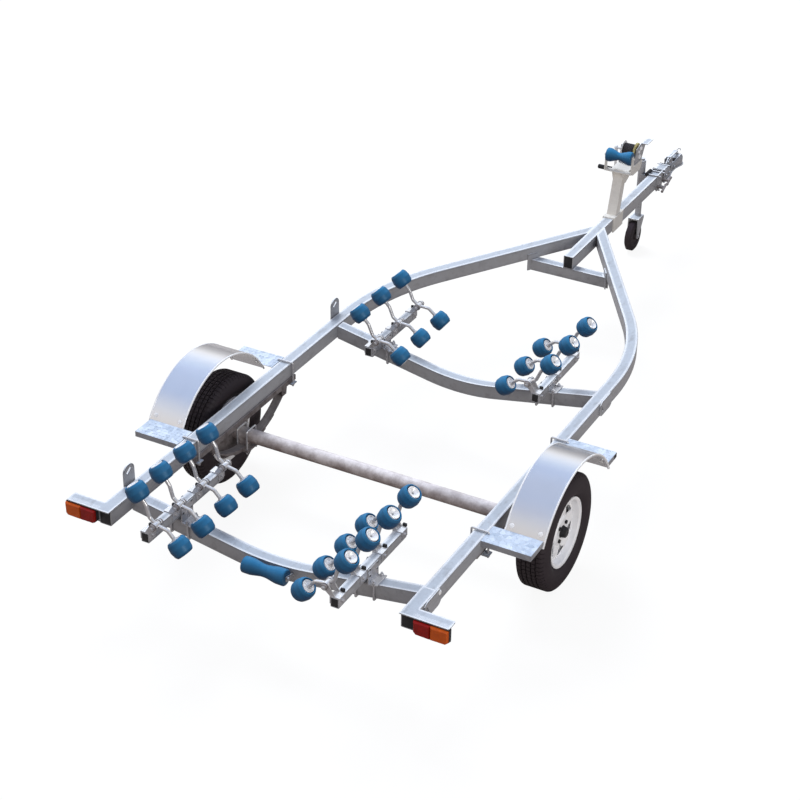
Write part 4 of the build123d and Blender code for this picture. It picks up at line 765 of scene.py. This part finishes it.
def treadPattern():
    t = treads
    shape, bump = bmesh.new(), bmesh.new()
    bmesh.ops.create_cone(bump, cap_ends=True, segments=6, radius1=t["long"], radius2=t["long"] * t["taper"],
                          depth=t["high"])
    bmesh.ops.scale(bump, vec=(1, t["thin"] / t["long"], 1), verts=bump.verts)
    left, right = t["x"]
    columns = int((right - left) / t["pitch"])
    for rear, front in t["ends"]:
        for row in range(int((front - rear) / t["pitch"]) + 1):
            for column in range(columns + 1):
                way = 1 if (row + column) % 2 else -1
                spot = at(left + column * t["pitch"], rear + row * t["pitch"], t["top"] + t["high"] / 2)
                copyInto(shape, bump, shift(spot) @ Matrix.Rotation(way * pi / 4, 4, "Z"))
    bump.free()
    bothSides(shape)
    return shape


finish("step_treads", treadPattern(), "chequer_plate")

# lamp lenses, each with a cut corner and a raised middle

rearLens = {
    "x": (0.8335, 1.0005), "split": 0.9150, "gap": 0.0004, "low": 0.4595, "top": 0.5290, "back": -1.2200,
    "deep": 0.0155, "rimShare": 0.55, "rimWide": 0.007, "cut": 0.013,
}


def lensShape(colour):
    s = rearLens
    low, top, cut = s["low"], s["top"], s["cut"]
    if colour == "red":
        left, right = s["x"][0], s["split"] - s["gap"]
        bottom = [(right, low), (left + cut, low), (left, low + cut)]
    else:
        left, right = s["split"] + s["gap"], s["x"][1]
        bottom = [(right, low + cut), (right - cut, low), (left, low)]
    shape = bmesh.new()
    corners = [shape.verts.new(at(x, s["back"], z)) for x, z in [(left, top), (right, top)] + bottom]
    face = shape.faces.new(corners)
    moved = bmesh.ops.extrude_face_region(shape, geom=[face])["geom"]
    front = only(BMFace, moved)[0]
    bmesh.ops.translate(shape, vec=(0, -s["deep"] * s["rimShare"], 0), verts=front.verts)
    bmesh.ops.inset_region(shape, faces=[front], thickness=s["rimWide"], depth=0.0)
    bmesh.ops.translate(shape, vec=(0, -s["deep"] * (1 - s["rimShare"]), 0), verts=front.verts)
    outwards(shape)
    bothSides(shape)
    return shape


for colour in ("red", "amber"):
    finish("rear_lenses_" + colour, lensShape(colour), colour + "_lens", replaced=[colour + "_lenses"])

# plugs in the open ends of the tubes: where, half width and half height, which way the tube runs out

railPlug, beamPlug = (0.029, 0.036), (0.0165, 0.0215)
plugs = {
    "ends": (
        ((0.794, -1.202, 0.494), railPlug, -1), ((0.0, 2.300, 0.494), (0.0255, 0.0355), -1),
        ((0.493, 0.754, 0.50265), beamPlug, -1), ((0.493, 1.272, 0.50265), beamPlug, 1),
        ((0.493, -1.306, 0.54785), beamPlug, -1), ((0.493, -0.690, 0.54785), beamPlug, 1),
    ),
    "thick": 0.014, "sunk": 0.006, "bevel": 0.003,
}


def plugShapes():
    half = plugs["thick"] / 2
    shape = bmesh.new()
    for (x, y, z), (wide, high), way in plugs["ends"]:
        middle = at(x, y - way * plugs["sunk"], z)
        for side in ((1, -1) if x else (1,)):
            low = (side * middle.x - wide, middle.y - half, z - high)
            box(shape, low, (side * middle.x + wide, middle.y + half, z + high), plugs["bevel"])
    return shape


finish("tube_plugs", plugShapes(), "black_plastic", replaced=["end_plugs"])

# black caps beside each rocker's saddle and under the front steps' corners

caps = {
    "x": 0.500, "half": (0.010, 0.0065, 0.008), "ahead": 0.033, "drop": 0.037, "bevel": 0.002,
    "step": ((1.066, 0.404, 0.506), (1.079, 0.4365, 0.5285)),
}


def blackCaps():
    c = caps
    half = Vector(c["half"])
    shape = bmesh.new()
    for pivot in pivots.values():
        x = c["x"] if pivot.x > 0 else -c["x"]
        middle = Vector((x, pivot.y + c["ahead"], pivot.z - c["drop"]))
        box(shape, middle - half, middle + half, c["bevel"])
    boxPair(shape, *c["step"], c["bevel"])
    return shape


finish("black_caps", blackCaps(), "black_plastic")

# rolled edge and bolts of the fenders

wing = {
    "radius": 0.440, "middleY": -0.060, "edges": (1.0845, 0.8865), "bead": 0.0046, "sunk": 0.6,
    "ends": (28, 152), "steps": 48, "boltAngles": (36, 144), "boltX": (0.912, 1.056),
    "outerBolt": (0.0085, 0.004), "innerBolt": (0.0075, 0.006), "thick": 0.003,
}


def wingEdges():
    w = wing
    start, end = (radians(degree) for degree in w["ends"])
    shape = bmesh.new()
    for x in w["edges"]:
        edge = bmesh.new()
        bmesh.ops.create_circle(edge, cap_ends=True, segments=10, radius=w["bead"])
        place(edge, shift((x, w["radius"] - w["bead"] * w["sunk"], 0)))
        bmesh.ops.rotate(edge, cent=(0, 0, 0), matrix=Matrix.Rotation(start, 3, "X"), verts=edge.verts)
        bmesh.ops.spin(edge, geom=edge.faces[:], axis=(1, 0, 0), cent=(0, 0, 0), angle=end - start,
                       steps=w["steps"])
        outwards(edge)
        place(edge, shift(at(0, w["middleY"], wheelZ)))
        moveInto(shape, edge)
    for degree in w["boltAngles"]:
        outward = Vector((0, cos(radians(degree)), sin(radians(degree))))
        for x in w["boltX"]:
            middle = at(x, w["middleY"], wheelZ)
            boltHead(shape, middle + outward * w["radius"], outward, *w["outerBolt"])
            boltHead(shape, middle + outward * (w["radius"] - w["thick"]), -outward, *w["innerBolt"])
    bothSides(shape)
    return shape


finish("fender_edges", wingEdges(), "bright_zinc")

# bushes and bolts outside each rocker's cheeks

pivotFit = {"cheek": 0.0242, "bush": 0.0150, "bushLong": 0.012, "bushBevel": 0.002, "bolt": (0.0085, 0.005)}
bushes, pivotBolts = bmesh.new(), bmesh.new()
for pivot in pivots.values():
    for way in (-1, 1):
        ahead = Vector((0, way, 0))
        middle = pivot + ahead * (pivotFit["cheek"] + pivotFit["bushLong"] / 2)
        lie = shift(middle) @ alongY
        drum(bushes, pivotFit["bush"], pivotFit["bushLong"], lie, 20, pivotFit["bushBevel"])
        outside = pivot + ahead * (pivotFit["cheek"] + pivotFit["bushLong"])
        boltHead(pivotBolts, outside, ahead, *pivotFit["bolt"])
finish("pivot_bushes", bushes, "spring_steel")
finish("pivot_bolts", pivotBolts, "arm_zinc")

# bolts in the beam brackets: zinc rings, each with a black disc as painted shade in its socket

bracket = {
    "x": (0.4668, 0.5192), "middles": ((0.919, 0.5035), (-1.006, 0.5475)), "apart": (0.034, 0.017),
    "radius": 0.0080, "long": 0.003, "bevel": 0.0006, "socket": 0.00528, "socketLong": 0.0038,
}
rings, holeShades = bmesh.new(), bmesh.new()
ahead, up = bracket["apart"]
for (middleY, middleZ), x, aheadWay, upWay in product(bracket["middles"], bracket["x"], (-1, 1), (-1, 1)):
    lie = across(*at(x, middleY + aheadWay * ahead, middleZ + upWay * up))
    drum(rings, bracket["radius"], bracket["long"], lie, 16, bracket["bevel"])
    drum(holeShades, bracket["socket"], bracket["socketLong"], lie, boltFit["sides"])
bothSides(rings)
bothSides(holeShades)
finish("bracket_bolts", rings, "galvanised")
finish("bracket_sockets", holeShades, "black_plastic")

# bolts through the rails' outer sides

railBolts = {"spots": ((0.827, -0.980, 0.516),), "size": (0.0125, 0.009)}
shape = boltRow(**railBolts)
bothSides(shape)
finish("rail_bolts", shape, "bright_zinc")

# coupling head, with its bolts, bands, handle and latch

head = {
    "stations": (  # along, half width, underside, top
        (3.750, 0.0420, 0.464, 0.5405), (3.866, 0.0420, 0.464, 0.5405), (3.884, 0.0370, 0.470, 0.5300),
        (3.930, 0.0300, 0.474, 0.5200), (3.985, 0.0300, 0.474, 0.5180), (4.030, 0.0360, 0.472, 0.5260),
        (4.062, 0.0430, 0.470, 0.5350), (4.090, 0.0440, 0.470, 0.5360), (4.112, 0.0360, 0.472, 0.5280),
        (4.124, 0.0220, 0.474, 0.5120), (4.128, 0.0090, 0.476, 0.4960),
    ),
    "flange": 0.007, "wall": 0.0035, "soft": (0.252, 0.28),
}
fittings = {
    "bolts": ((0.042, 3.782, 0.5), (0.042, 3.838, 0.5), (0.031, 3.960, 0.492)), "boltHead": (0.0105, 0.009),
    "boxes": (  # two bands over the drawbar, then the handle's plate: low corner, high corner, bevel
        ((-0.0440, 3.766, 0.5385), (0.0440, 3.774, 0.5445), 0.0015),
        ((-0.0440, 3.846, 0.5385), (0.0440, 3.854, 0.5445), 0.0015),
        ((-0.0155, 3.930, 0.5600), (0.0155, 4.066, 0.5680), 0.003),
    ),
    "cheek": ((0.0145, 3.905, 0.510), (0.0185, 3.962, 0.5620), 0.001),
    "rods": (  # the handle, its pin and the latch: radius, segments, points
        (0.0065, 12, (0, 3.895, 0.531), (0, 3.925, 0.556), (0, 3.975, 0.566), (0, 4.030, 0.560),
         (0, 4.068, 0.556), (0, 4.092, 0.540)),
        (0.004, 10, (-0.022, 3.935, 0.549), (0.022, 3.935, 0.549)),
        (0.0035, 8, (0, 4.082, 0.545), (0, 4.082, 0.561), (0.006, 4.092, 0.570), (0.018, 4.096, 0.571),
         (0.024, 4.090, 0.562)),
    ),
    "button": (0, 4.082, 0.541), "buttonSize": (0.013, 0.010, 0.002),
}


def headSection(wide, low, top):
    softX, softZ = head["soft"]
    form = [(-1, 0), (-1, 1 - softZ), (softX - 1, 1), (1 - softX, 1), (1, 1 - softZ), (1, 0)]
    edge = wide + head["flange"]
    return [(-edge, low)] + [(x * wide, low + z * (top - low)) for x, z in form] + [(edge, low)]


def couplingShell():
    shape = bmesh.new()
    (y, *size), *others = head["stations"]
    corners = [shape.verts.new((x, y, z)) for x, z in headSection(*size)]
    edges = [shape.edges.new(pair) for pair in zip(corners, corners[1:])]
    for y, *size in others:
        edges = only(BMEdge, bmesh.ops.extrude_edge_only(shape, edges=edges)["geom"])
        corners = sorted({corner for edge in edges for corner in edge.verts},
                         key=lambda corner: (corner.co.x, corner.co.z * (1 if corner.co.x < 0 else -1)))
        for corner, (x, z) in zip(corners, headSection(*size)):
            corner.co = (x, y, z)
    bmesh.ops.contextual_create(shape, geom=edges)
    outwards(shape)
    bmesh.ops.solidify(shape, geom=shape.faces, thickness=head["wall"])
    outwards(shape)
    place(shape, shift((0, axleY, 0)))
    return shape


def couplingFittings():
    f = fittings
    shape = bmesh.new()
    for x, y, z in f["bolts"]:
        for way in (-1, 1):
            boltHead(shape, at(way * x, y, z), (way, 0, 0), *f["boltHead"])
    for low, high, bevel in f["boxes"]:
        box(shape, at(*low), at(*high), bevel)
    boxPair(shape, *f["cheek"])
    for radius, segments, *points in f["rods"]:
        tube(shape, [at(*spot) for spot in points], radius, segments)
    radius, high, bevel = f["buttonSize"]
    drum(shape, radius, high, shift(at(*f["button"])), 24, bevel)
    return shape


finish("coupling_shell", couplingShell(), "galvanised", replaced=["coupling"])
finish("coupling_fittings", couplingFittings(), "galvanised")

# dark seams of the coupling and the grip of the jockey wheel's clamp

seams = {
    "boxes": (
        ((-0.0435, 3.742, 0.534), (0.0435, 3.754, 0.5435)), ((-0.0395, 3.866, 0.5), (0.0395, 3.884, 0.537)),
        ((-0.0200, 3.990, 0.505), (0.0200, 4.030, 0.5265)),
    ),
    "bevel": 0.002, "grip": ((-0.040, 3.642, 0.543), (-0.036, 3.706, 0.547)), "gripRadius": 0.012,
}


def couplingSeams():
    shape = bmesh.new()
    for low, high in seams["boxes"]:
        box(shape, at(*low), at(*high), seams["bevel"])
    tube(shape, [at(*spot) for spot in seams["grip"]], seams["gripRadius"], 16)
    return shape


finish("coupling_seams", couplingSeams(), "black_plastic")

# T bolts that hold the jockey wheel's clamp

tBolts = {
    "spots": ((3.652, 0.470), (3.738, 0.488)), "x": (0.036, 0.084), "rod": 0.009, "bar": 0.030,
    "slant": 0.012, "barRod": 0.0075, "knob": 0.0095, "nut": 0.012, "nutLong": 0.010, "nutIn": 0.008,
}


def clampBolts():
    t = tBolts
    start, end = t["x"]
    shape = bmesh.new()
    for y, z in t["spots"]:
        tips = [at(end, y + way * t["bar"], z + way * t["slant"]) for way in (-1, 1)]
        tube(shape, [at(start, y, z), at(end, y, z)], t["rod"], 12)
        tube(shape, tips, t["barRod"], 10)
        nut(shape, t["nut"], t["nutLong"], across(*at(start + t["nutIn"], y, z)))
        for tip in tips:
            lie = shift(tip)
            bmesh.ops.create_icosphere(shape, subdivisions=2, radius=t["knob"], matrix=lie)
    return shape


finish("clamp_t_bolts", clampBolts(), "spring_steel")
print("frame fittings made")


# winch drum, strap and crank, made round the winch's axis

spool = {
    "inside": 0.047, "core": 0.012, "strap": 0.040, "strapDip": 0.002, "layers": 7, "layerEdge": 0.15,
    "flange": 0.054, "flangeLong": 0.003, "flangeBevel": 0.0007, "gearSide": 0.012, "shaft": 0.009,
    "shaftEnds": (0.004, 0.013), "crankX": 0.090, "crankLong": 0.150, "crankThick": 0.008, "crankWide": 0.026,
    "crankBolt": (0.011, 0.008), "stud": 0.0045, "studLong": 0.110,
}
ratchet = {"teeth": 28, "root": 0.93, "thick": 0.006, "in": 0.011, "platePart": 0.99, "plateIn": 0.003}
flatToX = Matrix(((0, 0, 1, 0), (1, 0, 0, 0), (0, 1, 0, 0), (0, 0, 0, 1)))


def strapRoll():
    s = spool
    left, right = -s["inside"] + s["flangeLong"], s["inside"] - s["flangeLong"] - s["gearSide"]
    dip = s["strap"] - s["strapDip"]
    points = [(left, s["core"]), (left, dip)]
    layer = (right - left) / s["layers"]
    for count in range(s["layers"]):
        start = left + count * layer
        rise, fall = start + layer * s["layerEdge"], start + layer * (1 - s["layerEdge"])
        points += [(rise, s["strap"]), (fall, s["strap"]), (start + layer, dip)]
    return turned(points + [(right, s["core"])], 40)


def raised(shape, high):  # gives a flat shape its thickness
    moved = bmesh.ops.extrude_face_region(shape, geom=shape.faces[:])["geom"]
    bmesh.ops.translate(shape, vec=(0, 0, high), verts=only(BMVert, moved))
    outwards(shape)


def spoolMetal():
    s = spool
    shape = bmesh.new()
    left, right = s["shaftEnds"]
    inner, outer = -s["crankX"], -s["crankX"] - s["crankThick"]
    drum(shape, s["flange"], s["flangeLong"], across(s["flangeLong"] / 2 - s["inside"]), 48, s["flangeBevel"])
    tube(shape, [(outer - left, 0, 0), (s["inside"] + right, 0, 0)], s["shaft"], 20)
    crank = bmesh.new()
    bmesh.ops.create_circle(crank, cap_ends=True, segments=24, radius=s["crankWide"] / 2)
    for corner in crank.verts:
        if corner.co.y < 0:
            corner.co.y -= s["crankLong"]
    raised(crank, s["crankThick"])
    moveInto(shape, crank, shift((outer, 0, 0)) @ flatToX)
    boltHead(shape, Vector((outer, 0, 0)), (-1, 0, 0), *s["crankBolt"])
    tube(shape, [(outer - s["studLong"], 0, -s["crankLong"]), (inner, 0, -s["crankLong"])], s["stud"], 12)
    return shape


def ratchetWheel():
    g = ratchet
    shape = bmesh.new()
    x = spool["inside"] - g["in"]
    corners = bmesh.ops.create_circle(shape, cap_ends=True, segments=g["teeth"] * 2, radius=spool["flange"])
    for corner in corners["verts"][1::2]:
        corner.co.xy *= g["root"]
    raised(shape, g["thick"])
    place(shape, across(x))
    drum(shape, spool["flange"] * g["platePart"], spool["flangeLong"], across(x - g["plateIn"]), 48,
         spool["flangeBevel"])
    return shape


winchSpot = shift(joints["winch_crank"]["pos_m"])
for name, shape, slot, replaced in (
    ("winch_strap", strapRoll(), "webbing", ["winch_spool"]),
    ("winch_crank_arm", spoolMetal(), "bright_zinc", []),
    ("winch_ratchet", ratchetWheel(), "yellow_zinc", []),
):
    place(shape, winchSpot)
    finish(name, shape, slot, "winch", replaced)

# rounded aprons under the winch table and the bolts through its right plate

apron = {
    "low": (0.0525, 3.095, 0.752), "high": (0.0565, 3.265, 0.8105), "corner": 0.036, "cornerSteps": 8,
    "flat": 0.001,
}
winchBolts = {"spots": ((0.052, 3.238, 0.893), (0.052, 3.226, 0.842)), "size": (0.0115, 0.007)}


def winchAprons():
    a = apron
    shape = bmesh.new()
    box(shape, at(*a["low"]), at(*a["high"]))
    middle = (a["low"][2] + a["high"][2]) / 2
    lower = [edge for edge in shape.edges if all(corner.co.z < middle for corner in edge.verts)
             and abs(edge.verts[0].co.x - edge.verts[1].co.x) > a["flat"]]
    bevelEdges(shape, lower, a["corner"], a["cornerSteps"])
    bothSides(shape)
    return shape


finish("winch_aprons", winchAprons(), "post_steel")
finish("winch_bolts", boltRow(**winchBolts), "bright_zinc")

grip = {
    "start": 0.0985, "drop": 0.150, "steps": 32,
    "outline": (  # out from the start, radius
        (0, 0.0055), (0, 0.0116), (0.006, 0.0145), (0.020, 0.0137), (0.054, 0.0145), (0.094, 0.0140),
        (0.103, 0.0145), (0.108, 0.010875), (0.108, 0.0055),
    ),
}


shape = turned([(-grip["start"] - x, radius) for x, radius in grip["outline"]], grip["steps"])
place(shape, winchSpot @ shift((0, 0, -grip["drop"])))
finish("crank_grip", shape, "black_plastic", "winch", ["winch_grip"])
print("winch made")


# floor, light and camera

studio = {
    "floorColour": (0.94, 0.94, 0.94), "white": (1, 1, 1, 1), "floorGlow": 0.91, "floorSize": 60,
    "bounce": (0.31, 0.275, 0.25),  # the floor's colour as the trailer sees it
    "sky": 0.80, "leftGlow": (0.9, 0.7), "leftWay": (-0.75, 0.15, 0.0), "behindWay": (0.0, -1.0, 0.0),
    "warm": (0.98, 0.88, 0.79), "warmStart": (0.25, 0.8), "warmShare": 0.7,
    "stops": [  # from straight down to straight up
        (0.0, (0.16, 0.14, 0.13)), (0.5, (0.26, 0.23, 0.22)), (0.62, (0.52, 0.49, 0.47)),
        (0.69, (1.12, 1.08, 1.05)), (0.76, (1.12, 1.17, 1.26)), (0.82, (0.82, 0.94, 1.16)),
        (0.90, (0.50, 0.64, 0.96)), (1.0, (0.62, 0.70, 0.90)),
    ],
}
lamps = (  # name, spot, aim, size, power, colour, seen in reflections
    ("key", (-6.3, 4.6, 11.5), (0, 0, 0.3), 7, 1900, (0.93, 0.97, 1.0), False),
    ("fill", (7.5, -4.5, 3.2), (0, 0, 0.4), 4, 290, (1.0, 0.975, 0.94), True),
)
view = {
    "spot": (3.6222, -8.0492, 5.2543), "turn": (0.4866, -0.5376, 0.0157), "focal": 1802.8, "picture": 800,
    "sensor": 36,
}


def floorShader():
    material, recipe = emptyMaterial("floor")
    seen = recipe.add("LightPath", {}, "Is Camera Ray")
    colour = recipe.between(seen, studio["bounce"], studio["floorColour"])
    lit = recipe.add("BsdfDiffuse", {"Color": colour})
    white = recipe.add("Emission", {"Color": studio["white"], "Strength": 1.0})
    shader = recipe.add("MixShader", {0: seen * studio["floorGlow"], 1: lit, 2: white})
    recipe.add("OutputMaterial", {"Surface": shader})
    return material


floor = bmesh.new()
bmesh.ops.create_grid(floor, x_segments=1, y_segments=1, size=studio["floorSize"] / 2)
solid("floor", floor, floorShader())


def skyShader(tree):
    sky = Recipe(tree)
    direction = sky.add("TexCoord", {}, "Generated")
    height = sky.upness(direction) * 0.5 + 0.5
    bands = sky.add("ValToRGB", {"Fac": height}, stops=studio["stops"])
    behind = sky.ramp(sky.dot(direction, studio["behindWay"]), *studio["warmStart"])
    glow = sky.between(behind * studio["warmShare"], bands, studio["warm"])
    strength = graded(sky.dot(direction, studio["leftWay"]), studio["leftGlow"]) * studio["sky"]
    around = sky.add("Background", {"Color": glow, "Strength": strength})
    plain = sky.add("Background", {"Color": studio["white"], "Strength": 1.0})
    seen = sky.add("LightPath", {}, "Is Camera Ray")
    shader = sky.add("MixShader", {0: seen, 1: around, 2: plain})
    sky.add("OutputWorld", {"Surface": shader})


world = bpy.data.worlds.new("studio")
world.use_nodes = True
scene.world = world
skyShader(world.node_tree)


def lamp(name, spot, aim, size, power, colour, reflected):
    light = bpy.data.lights.new(name, "AREA")
    light.shape = "DISK"
    light.size = size
    light.energy = power
    light.color = colour
    holder = shown(name, light)
    holder.location = spot
    holder.rotation_euler = (Vector(aim) - Vector(spot)).to_track_quat("-Z", "Y").to_euler()
    holder.visible_glossy = reflected


for row in lamps:
    lamp(*row)


def cameraTurn(yaw, pitch, roll):
    ahead = Vector((-sin(yaw) * cos(pitch), cos(yaw) * cos(pitch), sin(pitch)))
    right = Vector((cos(yaw), sin(yaw), 0))
    up = right.cross(ahead)
    rolledRight = cos(roll) * right + sin(roll) * up
    rolledUp = cos(roll) * up - sin(roll) * right
    return Matrix((rolledRight, rolledUp, -ahead)).transposed().to_4x4()


cameraData = bpy.data.cameras.new("camera")
cameraData.sensor_width = view["sensor"]
cameraData.lens = view["focal"] / view["picture"] * view["sensor"]
camera = shown("camera", cameraData)
camera.matrix_world = shift(view["spot"]) @ cameraTurn(*view["turn"])
scene.camera = camera
scene.view_settings.view_transform = "Standard"
print("studio ready")
